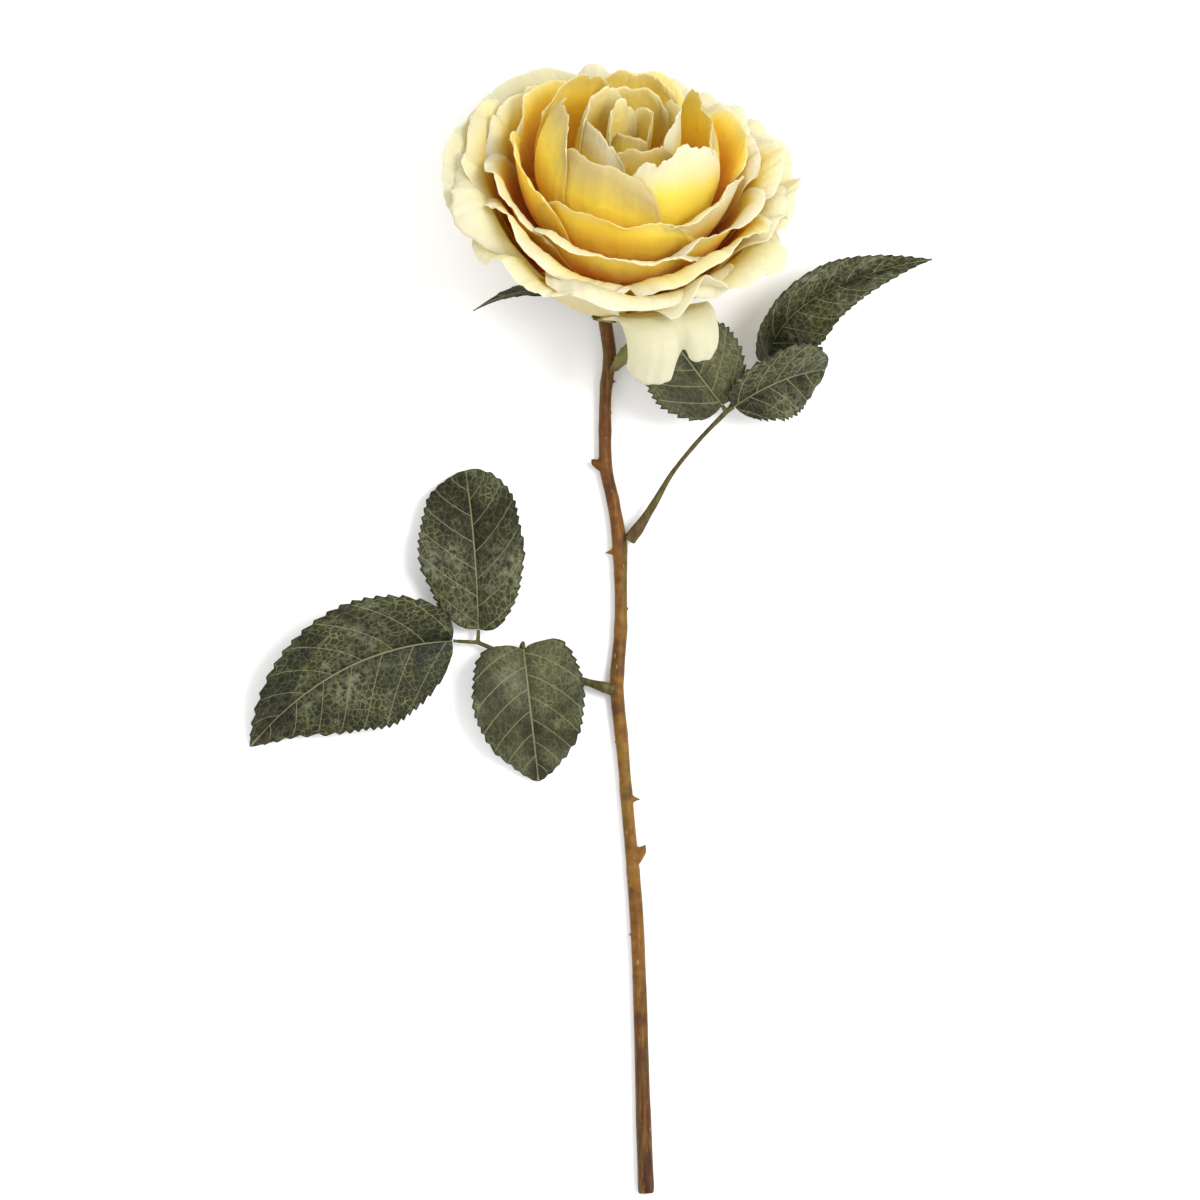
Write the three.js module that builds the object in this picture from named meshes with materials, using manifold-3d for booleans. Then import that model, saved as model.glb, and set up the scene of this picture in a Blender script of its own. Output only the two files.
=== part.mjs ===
// A cut rose: one wide open, many-petalled bloom on a thorny stem with two compound leaves.
// It lies on a flat surface at z = 0, as a cut stem does. The stem runs along Y, the bloom is at the +Y end and
// looks up and towards +Y, and the leaves spread along X. Millimetres, +Z up.
import * as THREE from "three";
import { mergeVertices } from "three/addons/utils/BufferGeometryUtils.js";
import Module from "manifold-3d";

const wasm = await Module();
wasm.setup();

const DEGREE = Math.PI / 180;

// ---- Driving dimensions ----

const GAP = 0.3; // clearance between two pieces that touch
const PETAL_THICKNESS = 0.45;
const LEAF_THICKNESS = 0.6;
const LEAF_FOOT_HALF = 0.45; // half the width of a leaf at its foot and at its tip
const SEPAL_THICKNESS = 0.7;

const BLOOM = {
  seat: [8.3, 124.5], // middle of the receptacle, where the petals are set; its height follows from the petals
  pressed: 1.14, // how far the rear petals would sink into the surface, if they were not pressed flat on it
  rise: 40, // how far the bloom's axis points above the surface, degrees
  lean: 8, // how far it points towards +X, degrees
  radius: 58, // of its widest ring of petals
};

// The petals stand in rings, from the outermost to the heart. Each ring is one cup-shaped surface round the bloom's
// axis: it starts at its own step of the receptacle, leaves it at the angle `leave`, and reaches the rim (radius,
// height) at the angle `arrive`, both from the plane across the axis. `rear` lifts the rim at the back and `saddle`
// lifts it at both sides, and neighbours that overlap leave `room` between them. Azimuths are seen from the front of
// the bloom: 0 is right, 90 the rear, 180 left, 270 front.
// Each petal is [azimuth, width, reach], and reach is its length as a share of the ring's own.
const RINGS = [
  {
    name: "fallen", step: 8, radius: BLOOM.radius - 4, height: 8, rear: 0, saddle: 0, leave: -24, arrive: 16, room: 0,
    petals: [[297, 34, 1.0]],
  },
  {
    name: "guard", step: 7, radius: BLOOM.radius, height: 25, rear: 2, saddle: 4, leave: -16, arrive: 26, room: 0.85,
    petals: [[28, 54, 0.98], [96, 54, 1.0], [180, 50, 1.0], [240, 52, 0.97], [322, 54, 1.0]],
  },
  {
    name: "outer", step: 6, radius: 54.5, height: 29.5, rear: 2, saddle: 4, leave: -7, arrive: 40, room: 0.8,
    petals: [[12, 60, 0.98], [72, 56, 0.97], [136, 58, 1.0], [204, 60, 0.98], [282, 64, 1.0]],
  },
  {
    name: "middle", step: 5, radius: 50, height: 32.5, rear: 1.5, saddle: 3.5, leave: 1, arrive: 52, room: 0.8,
    petals: [[30, 54, 1.0], [98, 54, 0.95], [168, 54, 0.98], [242, 60, 1.0], [318, 58, 1.0]],
  },
  {
    name: "inner", step: 4, radius: 44.5, height: 35, rear: 1, saddle: 2.5, leave: 6, arrive: 63, room: 0.95,
    petals: [[42, 44, 0.97], [98, 42, 0.94], [154, 44, 0.98], [208, 50, 0.98], [268, 62, 1.0], [330, 52, 1.0]],
  },
  {
    name: "cup", step: 3, radius: 37, height: 41, rear: -0.5, saddle: 0, leave: 14, arrive: 78, room: 1.1,
    petals: [[26, 42, 1.0], [86, 38, 1.0], [144, 40, 1.0], [206, 46, 1.0], [268, 58, 0.94], [330, 48, 0.98]],
  },
  {
    name: "crown", step: 2, radius: 22, height: 54, rear: -2, saddle: 0, leave: 24, arrive: 116, room: 1.35,
    petals: [[22, 38, 0.97], [88, 32, 0.94], [140, 36, 0.96], [194, 38, 1], [252, 46, 0.89], [312, 44, 0.96]],
  },
  {
    name: "heart", step: 1, radius: 13.5, height: 53, rear: -1, saddle: 0, leave: 56, arrive: 98, room: 1.3,
    petals: [[14, 29, 1], [82, 29, 0.98], [150, 30, 1], [222, 30, 0.93], [292, 28, 0.9]],
  },
  {
    name: "bud", step: 0, radius: 6.5, height: 51, rear: 0, saddle: 0, leave: 80, arrive: 92, room: 0.7,
    petals: [[40, 17, 0.97], [148, 19, 1], [268, 16, 0.92]],
  },
];
const STEP_FIRST = { radius: 2.2, height: 4.2 }; // the receptacle's topmost step, where the innermost ring starts
const STEP_OUT = 1.35; // each ring starts this much further out than the one inside it
const STEP_DOWN = 1.75; // and this much lower
const HANDLES = [0.5, 0.42]; // how far a ring's profile keeps its leaving and arriving angles, as shares of its chord
const TIP_ROUNDING = 0.13; // how much shorter a petal is at its sides than in its middle, as a share of its length
const PETAL_WIDEST = 0.66; // where a petal is widest, from its base

// The fallen petal folds down at the front: it bends from the share `from` of its length, until it points `to` degrees
// from the plane across the axis, and `bend` and `hang` are the lengths of the bend and of the straight part past it.
const FALL = { from: 0.8, to: -96, bend: 20, hang: 9 };
const BASE_ROOM = 0.45; // from the receptacle to the middle of a petal's foot: half a petal, a gap and its slant

const CALYX_LENGTH = 15.5; // from the lowest ring's step down to the stem
const CALYX_RADIUS = 7.2;
const CALYX_WIDEST = 7.4; // from its foot to its widest place
const SEPALS = { count: 5, first: 126, tip: 29.5, width: 8, rise: 8.3 }; // tip: its distance from the bloom's axis
const STAMENS = { count: 9, radius: 1.35, height: 33, thickness: 0.8, spread: 3.4 };

// The stem's centre line from the cut end to the calyx, as [x, y, z, radius].
const STEM = [
  [18.1, -183.0, 2.85, 2.7], [17.0, -151.4, 2.6, 2.4], [16.1, -119.4, 2.6, 2.25], [15.0, -93.8, 2.7, 2.25],
  [13.5, -74.6, 2.8, 2.1], [11.8, -55.4, 2.9, 2.0], [10.4, -38.0, 3.0, 2.05], [8.7, -19.0, 3.1, 2.25],
  [9.9, -1.0, 3.0, 2.1], [9.9, 15.0, 3.0, 2.1], [9.4, 28.0, 3.1, 2.4], [7.4, 40.6, 3.0, 2.0],
  [5.2, 50.6, 3.0, 2.15], [4.8, 64.0, 3.0, 2.0], [5.1, 77.0, 3.4, 2.0], [6.3, 87.0, 4.6, 2.1],
];
const NECK_RADIUS = 2.3; // the stem's radius where it meets the calyx

// Prickles and the stubs of side shoots, as [share of the stem's length, degrees round it, length, base radius, rise].
// Degrees are 0 towards +X, 90 up and 180 towards -X, and rise moves the point along the stem.
const PRICKLES = [
  [0.286, 165, 1.9, 1.3, 0.5], [0.437, 5, 3.6, 1.5, -0.6], [0.372, 10, 3.2, 3.0, 2.6], [0.5, 172, 1.5, 0.9, 0.2],
  [0.648, 8, 1.5, 1.1, 0.3], [0.712, 172, 4.0, 1.6, -0.3], [0.808, 165, 3.0, 2.2, 1.6], [0.868, 12, 1.3, 0.8, 0.2],
  [0.902, 15, 2.2, 1.2, 0.4], [0.55, 80, 1.4, 1.0, 0.3],
];

// Leaf stalks, as routes of [x, y, z, radius] from the stem outwards. The first pair of each route is the broad sheath.
const STALKS = {
  stalk_left: {
    route: [
      [7.6, -20.4, 4.0, 2.1], [2.6, -19.0, 4.8, 1.6], [-4.0, -17.0, 4.6, 1.1], [-19.2, -12.2, 3.4, 0.8],
      [-36.2, -5.1, 4.4, 0.75],
    ],
    twigs: [
      [[-36.2, -5.1, 4.4, 0.7], [-36.0, -1.0, 5.0, 0.6]],
      [[-36.2, -5.1, 4.4, 0.7], [-44.2, -4.6, 5.2, 0.55]],
      [[-22.6, -10.9, 3.5, 0.7], [-22.2, -6.4, 4.6, 0.65], [-21.6, -5.2, 6.8, 0.6], [-21.4, -7.0, 8.0, 0.6]],
    ],
  },
  stalk_right: {
    route: [
      [12.7, 28.0, 4.6, 2.1], [15.6, 31.8, 5.8, 1.9], [20.6, 39.6, 7.6, 1.25], [26.4, 49.4, 10.4, 0.85],
      [35.2, 60.2, 14.0, 0.75], [43.8, 69.1, 16.0, 0.85],
    ],
    twigs: [
      [[43.8, 69.1, 16.0, 0.8], [42.6, 71.0, 17.0, 0.65]],
      [[43.8, 69.1, 16.0, 0.8], [46.2, 70.6, 17.2, 0.65]],
      [[43.8, 69.1, 16.0, 0.7], [50.6, 77.6, 9.6, 0.65], [55.4, 83.6, 8.2, 0.6], [56.9, 86.4, 10.2, 0.55]],
    ],
  },
};

// Leaflets and bracts: where the leaf sits (a stalk's twig, or a share of the stem's length), the middle control point
// and the tip of its midrib, the way the upper face looks at the base and at the tip, its half width, how steeply its
// two halves fold up from the midrib in degrees, where it is widest, and how far its two shoulders reach back at the
// foot.
const LEAVES = {
  leaflet_left_end: {
    on: ["stalk_left", 1], middle: [-82.0, -6.0, 17.0], tip: [-109.8, -38.7, 0.9],
    faces: [[0.1, -0.25, 1], [0.05, -0.45, 1]], half: 23.5, fold: 20, widest: 0.42, heel: 2,
  },
  leaflet_left_upper: {
    on: ["stalk_left", 0], middle: [-36.4, 26.0, 15.0], tip: [-40.2, 50.4, 2.4],
    faces: [[-0.25, 0, 1], [-0.2, 0.1, 1]], half: 19.0, fold: 18, widest: 0.5, heel: 3,
  },
  leaflet_left_lower: {
    on: ["stalk_left", 2], middle: [-19.0, -28.0, 16.0], tip: [-16.6, -49.9, 1.6],
    faces: [[-0.1, 0.1, 1], [0.05, -0.2, 1]], half: 19.2, fold: 14, widest: 0.4, heel: 9,
  },
  leaflet_right_inner: {
    on: ["stalk_right", 0], middle: [30.0, 87.0, 25.0], tip: [20.6, 100.5, 18.0],
    faces: [[0.1, 0, 1], [-0.1, 0.1, 1]], half: 17.5, fold: 18, widest: 0.46, heel: 3,
  },
  leaflet_right_lower: {
    on: ["stalk_right", 1], middle: [61.0, 81.0, 25.0], tip: [75.8, 83.0, 9.0],
    faces: [[0, -0.75, 1], [0.25, -0.55, 1]], half: 14.0, fold: 16, widest: 0.55, heel: 0,
  },
  leaflet_right_end: {
    on: ["stalk_right", 2], middle: [63.0, 110.0, 31.0], tip: [110.4, 118.6, 1.0],
    faces: [[0.6, -0.4, 1], [0.1, 0.35, 1]], half: 14.0, fold: 36, widest: 0.34, heel: 0,
  },
  bract_left: {
    on: ["stem", 0.985], middle: [-16.0, 114.0, 14.0], tip: [-37.6, 101.8, 8.0],
    faces: [[0, 0.9, 0.45], [0, 0.9, 0.45]], half: 7.0, fold: 14, widest: 0.45, heel: 0,
  },
  bract_right: {
    on: ["stem", 0.915], middle: [10.5, 86.0, 13.5], tip: [16.4, 96.5, 16.5],
    faces: [[0.5, -0.5, 1], [0.5, -0.5, 1]], half: 3.2, fold: 10, widest: 0.55, heel: 0,
  },
};

// Grid sizes: facets across and along each kind of piece.
const PETAL_GRID = [6, 6];
const HEART_GRID = [4, 5];
const LEAF_GRID = [4, 8];
const BRACT_GRID = [2, 6];
const SEPAL_GRID = [2, 4];
const STEM_SIDES = 10;
const STALK_SIDES = 7;

const PAINT = {
  petal: { color: 0xf1dc92, roughness: 0.75 },
  leaf: { color: 0x4b5433, roughness: 0.7 },
  stem: { color: 0x87592d, roughness: 0.5 },
  stalk: { color: 0x6d6434, roughness: 0.55 },
  calyx: { color: 0x66703c, roughness: 0.6 },
  stamen: { color: 0xb5641f, roughness: 0.7 },
};

// ---- Shaping ----

const vector = (xyz) => new THREE.Vector3(xyz[0], xyz[1], xyz[2]);
const mix = THREE.MathUtils.lerp;
const ease = THREE.MathUtils.smoothstep;

function mesh(name, geometry, paint) {
  const made = new THREE.Mesh(geometry, new THREE.MeshStandardMaterial({ ...PAINT[paint], metalness: 0 }));
  made.name = name;
  return made;
}

/** A closed primitive with every vertex moved by place(point), which must keep left, up and out a right-handed set. */
function shaped(geometry, place) {
  const at = geometry.attributes.position;
  for (let i = 0; i < at.count; i++) {
    const moved = place(new THREE.Vector3().fromBufferAttribute(at, i));
    at.setXYZ(i, moved.x, moved.y, moved.z);
  }
  geometry.computeVertexNormals();
  return geometry;
}

/** A sheet of even thickness over surface(across, along), with across from -1 to 1 and along from 0 to 1. */
function sheet(surface, thickness, [acrossCount, alongCount]) {
  const small = 1e-3;
  return shaped(new THREE.BoxGeometry(2, 1, 1, acrossCount, alongCount, 1), (p) => {
    const across = p.x;
    const along = p.y + 0.5;
    const sideways = surface(across + small, along).sub(surface(across - small, along));
    const onwards = surface(across, along + small).sub(surface(across, along - small));
    const normal = sideways.cross(onwards).normalize();
    return surface(across, along).addScaledVector(normal, p.z * thickness);
  });
}

/** A closed round bar along points of [x, y, z, radius]. */
function bar(points, sides, steps) {
  const line = new THREE.CatmullRomCurve3(points.map(vector), false, "centripetal");
  const last = points.length - 1;
  return shaped(new THREE.CylinderGeometry(1, 1, 1, sides, steps), (p) => {
    const share = p.y + 0.5;
    const from = Math.min(Math.floor(share * last), last - 1);
    const radius = mix(points[from][3], points[from + 1][3], share * last - from);
    const onwards = line.getTangent(share);
    const across = new THREE.Vector3(onwards.y, -onwards.x, 0).normalize();
    const up = new THREE.Vector3().crossVectors(across, onwards);
    return line
      .getPoint(share)
      .addScaledVector(across, p.x * radius)
      .addScaledVector(up, p.z * radius);
  });
}

function toSolid(geometry) {
  const bare = geometry.clone().deleteAttribute("normal").deleteAttribute("uv");
  const merged = mergeVertices(bare, 1e-3);
  return new wasm.Manifold(
    new wasm.Mesh({ numProp: 3, vertProperties: merged.attributes.position.array, triVerts: merged.index.array }),
  );
}

function toGeometry(solid) {
  const { vertProperties, triVerts } = solid.getMesh();
  const made = new THREE.BufferGeometry();
  made.setAttribute("position", new THREE.BufferAttribute(vertProperties, 3));
  made.setIndex(new THREE.BufferAttribute(triVerts, 1));
  made.computeVertexNormals();
  return made;
}

const joined = (geometries) => toGeometry(geometries.map(toSolid).reduce((a, b) => a.add(b)));

// ---- The bloom ----

/** The bloom's own frame: x is right, y the rear and z out along the axis. */
function bloomGroup() {
  const guard = RINGS[1];
  const rearHeight = guard.height + guard.rear - guard.saddle;
  const seatHeight = guard.radius * Math.cos(BLOOM.rise * DEGREE) - rearHeight * Math.sin(BLOOM.rise * DEGREE);
  const rise = BLOOM.rise * DEGREE;
  const lean = BLOOM.lean * DEGREE;
  const right = new THREE.Vector3(Math.cos(lean), -Math.sin(lean), 0);
  const axis = new THREE.Vector3(Math.sin(lean) * Math.cos(rise), Math.cos(lean) * Math.cos(rise), Math.sin(rise));
  const rear = new THREE.Vector3().crossVectors(axis, right);
  const group = new THREE.Group();
  group.position.set(...BLOOM.seat, seatHeight - BLOOM.pressed);
  group.quaternion.setFromRotationMatrix(new THREE.Matrix4().makeBasis(right, rear, axis));
  group.updateMatrix();
  return group;
}

const bloom = bloomGroup();

/** The same point, in the bloom's frame, pushed up off the surface that the rose lies on where it would sink in. */
function settled(point) {
  const softness = 3;
  const lowest = PETAL_THICKNESS / 2 + 0.1;
  const world = point.clone().applyMatrix4(bloom.matrix);
  const depth = world.z - lowest;
  if (depth > softness) return point;
  const lifted = depth < -softness ? 0 : (depth + softness) ** 2 / (4 * softness);
  world.z = lowest + lifted;
  return world.applyMatrix4(bloom.matrix.clone().invert());
}

const stepOf = (ring) => [STEP_FIRST.radius + STEP_OUT * ring.step, STEP_FIRST.height - STEP_DOWN * ring.step];

/** A ring's profile at an azimuth in degrees: share 0 is the receptacle and 1 the rim. Gives [radius, height]. */
function profile(ring, azimuth, share) {
  const [startRadius, startHeight] = stepOf(ring);
  const turn = azimuth * DEGREE;
  const rim = [ring.radius, ring.height + ring.rear * Math.sin(turn) + ring.saddle * Math.cos(2 * turn)];
  const chord = Math.hypot(rim[0] - startRadius, rim[1] - startHeight);
  const leave = ring.leave * DEGREE;
  const arrive = ring.arrive * DEGREE;
  const curve = new THREE.CubicBezierCurve(
    new THREE.Vector2(startRadius, startHeight),
    new THREE.Vector2(
      startRadius + HANDLES[0] * chord * Math.cos(leave),
      startHeight + HANDLES[0] * chord * Math.sin(leave),
    ),
    new THREE.Vector2(rim[0] - HANDLES[1] * chord * Math.cos(arrive), rim[1] - HANDLES[1] * chord * Math.sin(arrive)),
    new THREE.Vector2(rim[0], rim[1]),
  );
  const at = curve.getPoint(share);
  const slope = curve.getTangent(Math.min(Math.max(share, 0.01), 0.99));
  return { radius: at.x, height: at.y, outwards: [slope.y, -slope.x] };
}

/** A petal's half width as a share of its largest, from its base to its tip. */
function petalOutline(along, baseShare) {
  const tipLength = 0.6; // the tip's rounding, as a share of the length past the widest place
  if (along < PETAL_WIDEST) return mix(baseShare, 1, Math.sin((Math.max(along, 0) / PETAL_WIDEST) * 90 * DEGREE));
  return Math.sqrt(1 - ((along - PETAL_WIDEST) / tipLength) ** 2);
}

/** The angle in degrees from a petal to its neighbour in the ring, on the side where across is positive or negative. */
function spacingAt(ring, azimuth, across) {
  const sign = Math.sign(across) || 1;
  const others = ring.petals.map((petal) => (sign * (petal[0] - azimuth) + 720) % 360).filter((angle) => angle > 0);
  return Math.min(...others, 360);
}

/** A point on a petal. One side of each petal lies outside its neighbour and the other inside, so that none cross. */
function petalPoint(ring, [azimuth, width, reach], across, along) {
  const share = Math.max(0, along) * reach * (1 - TIP_ROUNDING * Math.abs(across) ** 3);
  const middle = profile(ring, azimuth, share);
  const closest = Math.min(spacingAt(ring, azimuth, 1), spacingAt(ring, azimuth, -1));
  const baseRoom = stepOf(ring)[0] * closest * DEGREE; // from this petal to its nearer neighbour on the receptacle
  const foot = Math.min(0.4 * baseRoom, 2.2);
  const half = (width / 2) * petalOutline(along, foot / (width / 2));
  const turn = Math.min(half / middle.radius, 75 * DEGREE) / DEGREE;
  const at = profile(ring, azimuth + across * turn, share);
  const apart = PETAL_THICKNESS + ring.room;
  const offset = ((apart * across * turn) / spacingAt(ring, azimuth, across)) * ease(share, 0, 0.1);
  const radius = at.radius + offset * at.outwards[0];
  const angle = (azimuth + across * turn) * DEGREE;
  return new THREE.Vector3(
    radius * Math.cos(angle),
    radius * Math.sin(angle),
    at.height + offset * at.outwards[1],
  );
}

/** A point on the petal that folds down: past FALL.from it leaves its ring's surface, bends and hangs. */
function fallenPoint(ring, petal, across, along) {
  if (along <= FALL.from) return petalPoint(ring, petal, across, along);
  const kept = across * Math.min(petalOutline(along, 0) / petalOutline(FALL.from, 0), 1);
  const run = ((along - FALL.from) / (1 - FALL.from)) * (FALL.bend + FALL.hang);
  const [outX, outZ] = profile(ring, petal[0], FALL.from * petal[2]).outwards;
  const first = Math.atan2(outX, -outZ);
  return petalPoint(ring, petal, kept, FALL.from).add(bent(first, run, petal[0]));
}

/** How far a line that starts at an angle, bends to FALL.to and then runs straight has gone after a length. */
function bent(first, run, azimuth) {
  const last = FALL.to * DEGREE;
  const turned = Math.min(run, FALL.bend);
  const radius = FALL.bend / (last - first);
  const reached = first + turned / radius;
  const out = radius * (Math.sin(reached) - Math.sin(first)) + (run - turned) * Math.cos(last);
  const up = -radius * (Math.cos(reached) - Math.cos(first)) + (run - turned) * Math.sin(last);
  return new THREE.Vector3(out * Math.cos(azimuth * DEGREE), out * Math.sin(azimuth * DEGREE), up);
}

for (const ring of RINGS) {
  const grid = ring.radius < 20 ? HEART_GRID : PETAL_GRID;
  const pointAt = ring.name === "fallen" ? fallenPoint : petalPoint;
  ring.petals.forEach((petal, index) => {
    const surface = (across, along) => settled(pointAt(ring, petal, across, along));
    bloom.add(mesh(`petal_${ring.name}_${index + 1}`, sheet(surface, PETAL_THICKNESS, grid), "petal"));
  });
}

/** The receptacle under the petals and the swollen hip below it, turned round the bloom's axis. */
function calyxGeometry() {
  const [lastRadius, lastHeight] = stepOf(RINGS[0]);
  const bottom = lastHeight - CALYX_LENGTH;
  const outline = [
    [0, bottom], [NECK_RADIUS + 0.2, bottom], [CALYX_RADIUS * 0.72, bottom + 3.2],
    [CALYX_RADIUS, bottom + CALYX_WIDEST], [CALYX_RADIUS * 0.9, bottom + 11.2],
    [lastRadius - BASE_ROOM - 1.6, lastHeight - 1.6],
    [lastRadius - BASE_ROOM, lastHeight - 0.4], [STEP_FIRST.radius - BASE_ROOM, STEP_FIRST.height],
    [0, STEP_FIRST.height],
  ];
  const turned = new THREE.LatheGeometry(outline.map(([x, y]) => new THREE.Vector2(x, y)), 24);
  return turned.rotateX(90 * DEGREE);
}
bloom.add(mesh("calyx", calyxGeometry(), "calyx"));

/** A sepal: a pointed strip that stands out from the widest place of the calyx and bends up behind the petals. */
function sepalPoint(azimuth, across, along) {
  const angle = azimuth * DEGREE;
  const half = Math.max((SEPALS.width / 2) * Math.sin(Math.PI * (0.22 + 0.76 * along)), 0.35);
  const radius = mix(CALYX_RADIUS + GAP, SEPALS.tip, along);
  const widestHeight = stepOf(RINGS[0])[1] - CALYX_LENGTH + CALYX_WIDEST;
  return new THREE.Vector3(
    radius * Math.cos(angle) - across * half * Math.sin(angle),
    radius * Math.sin(angle) + across * half * Math.cos(angle),
    widestHeight + SEPALS.rise * (2.2 * along ** 2 - 1.6 * along) - 0.12 * Math.abs(across) * half,
  );
}
for (let i = 0; i < SEPALS.count; i++) {
  const azimuth = SEPALS.first + (i * 360) / SEPALS.count;
  const surface = (across, along) => settled(sepalPoint(azimuth, across, along));
  bloom.add(mesh(`sepal_${i + 1}`, sheet(surface, SEPAL_THICKNESS, SEPAL_GRID), "calyx"));
}

/** The stamens, a tuft that stands on the receptacle inside the innermost ring. */
function stamensGeometry() {
  const foot = STEP_FIRST.height + GAP;
  const filaments = [new THREE.CylinderGeometry(STAMENS.radius, STAMENS.radius, 6, 9)
    .rotateX(90 * DEGREE).translate(0, 0, foot + 3)];
  for (let i = 0; i < STAMENS.count; i++) {
    const angle = (i * 360 * DEGREE) / STAMENS.count;
    const lean = Math.atan2(STAMENS.spread - STAMENS.radius * 0.5, STAMENS.height);
    filaments.push(
      new THREE.CylinderGeometry(STAMENS.thickness * 0.7, STAMENS.thickness * 0.45, STAMENS.height, 5)
        .translate(0, STAMENS.height / 2, 0)
        .rotateX(90 * DEGREE)
        .rotateY(lean)
        .rotateZ(angle)
        .translate(0.5 * STAMENS.radius * Math.cos(angle), 0.5 * STAMENS.radius * Math.sin(angle), foot + 2),
    );
  }
  return joined(filaments);
}
bloom.add(mesh("stamens", stamensGeometry(), "stamen"));

// ---- The stem ----

/** The stem's route, ended with the bend that carries it into the calyx along the bloom's axis. */
function stemRoute() {
  const calyxFoot = stepOf(RINGS[0])[1] - CALYX_LENGTH - GAP;
  const onAxis = (height) => new THREE.Vector3(0, 0, height).applyMatrix4(bloom.matrix).toArray();
  return [...STEM, [...onAxis(calyxFoot - 7), NECK_RADIUS], [...onAxis(calyxFoot), NECK_RADIUS]];
}

/** A prickle: a bent cone whose base is sunk into the stem. */
function prickle(line, [share, around, length, base, rise]) {
  const at = line.getPointAt(share);
  const onwards = line.getTangentAt(share);
  const across = new THREE.Vector3(onwards.y, -onwards.x, 0).normalize();
  const up = new THREE.Vector3().crossVectors(across, onwards);
  const out = across.multiplyScalar(Math.cos(around * DEGREE)).addScaledVector(up, Math.sin(around * DEGREE));
  const side = new THREE.Vector3().crossVectors(onwards, out);
  const sunk = 1.2;
  const reach = length + sunk;
  return shaped(new THREE.ConeGeometry(base, reach, 7, 2), (p) => {
    const share = (p.y + reach / 2) / reach;
    return at.clone()
      .addScaledVector(out, share * reach + sunk * 0.4)
      .addScaledVector(onwards, p.x * 1.25 + rise * share ** 2)
      .addScaledVector(side, p.z * 0.8);
  });
}

const rose = new THREE.Group();
rose.name = "cut_rose";
rose.add(bloom);

const route = stemRoute();
const stemLine = new THREE.CatmullRomCurve3(route.map(vector), false, "centripetal");
const stemPieces = [bar(route, STEM_SIDES, 54), ...PRICKLES.map((each) => prickle(stemLine, each))];
rose.add(mesh("stem", joined(stemPieces), "stem"));

// ---- The leaves ----

/** A leaf stalk with its twigs, cut back by the stem so that it meets it with a gap. */
function stalkGeometry({ route: main, twigs }) {
  const stalk = toSolid(joined([bar(main, STALK_SIDES, 14), ...twigs.map((twig) => bar(twig, 6, 2 * twig.length))]));
  const room = route.map(([x, y, z, radius]) => [x, y, z, radius + GAP]);
  return toGeometry(stalk.subtract(toSolid(bar(room, STEM_SIDES, 54))));
}
for (const [name, stalk] of Object.entries(STALKS)) rose.add(mesh(name, stalkGeometry(stalk), "stalk"));

/** A leaf's half width as a share of its largest: round at the base, pointed at the tip. */
function leafOutline(along, widest) {
  if (along < widest) return Math.sqrt(Math.max(1 - ((widest - along) / widest) ** 2.2, 0));
  return Math.cos((((along - widest) / (1 - widest)) * 90 * DEGREE) ** 1.05 / (90 * DEGREE) ** 0.05);
}

/** Where a leaf's midrib starts: a gap past the end of its twig, or off the side of the stem. */
function leafFoot({ on: [holder, place], middle }) {
  if (holder !== "stem") {
    const end = vector(STALKS[holder].twigs[place].at(-1));
    return end.addScaledVector(vector(middle).sub(end).normalize(), GAP);
  }
  const at = stemLine.getPointAt(place);
  const onwards = stemLine.getTangentAt(place);
  const out = vector(middle).sub(at).projectOnPlane(onwards).normalize();
  return at.addScaledVector(out, NECK_RADIUS + GAP);
}

function leafPoint(leaf, across, along) {
  const line = new THREE.QuadraticBezierCurve3(leaf.foot, vector(leaf.middle), vector(leaf.tip));
  const inside = THREE.MathUtils.clamp(along, 0, 1);
  const onwards = line.getTangent(inside);
  const face = vector(leaf.faces[0]).lerp(vector(leaf.faces[1]), along).normalize();
  const side = new THREE.Vector3().crossVectors(onwards, face).normalize();
  const up = new THREE.Vector3().crossVectors(side, onwards);
  const reach = across * Math.max(leaf.half * leafOutline(inside, leaf.widest), LEAF_FOOT_HALF);
  const slope = leaf.fold * DEGREE;
  return line.getPoint(along)
    .addScaledVector(onwards, (-leaf.heel * Math.abs(reach) * (1 - inside) ** 2) / leaf.half)
    .addScaledVector(side, reach * Math.cos(slope))
    .addScaledVector(up, Math.abs(reach) * Math.sin(slope));
}
for (const [name, leaf] of Object.entries(LEAVES)) {
  const grid = name.startsWith("bract") ? BRACT_GRID : LEAF_GRID;
  const placed = { ...leaf, foot: leafFoot(leaf) };
  rose.add(mesh(name, sheet((across, along) => leafPoint(placed, across, along), LEAF_THICKNESS, grid), "leaf"));
}

// The origin is at the bottom centre of the object's box.
const box = new THREE.Box3().setFromObject(rose, true);
const middle = box.getCenter(new THREE.Vector3());
rose.position.set(-middle.x, -middle.y, -box.min.z);

export default rose;
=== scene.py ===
"""The looks of a cut cloth rose: petals, leaves and stem as fine meshes in the places of the CAD solids, with their
cloth and bark as node materials, on a pale floor in soft light. The camera looks straight down on it.

Shapes are worked out in millimetres in the design's own coordinates, as the CAD model is, and put() turns them into
metres in the frame."""

import math

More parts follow.
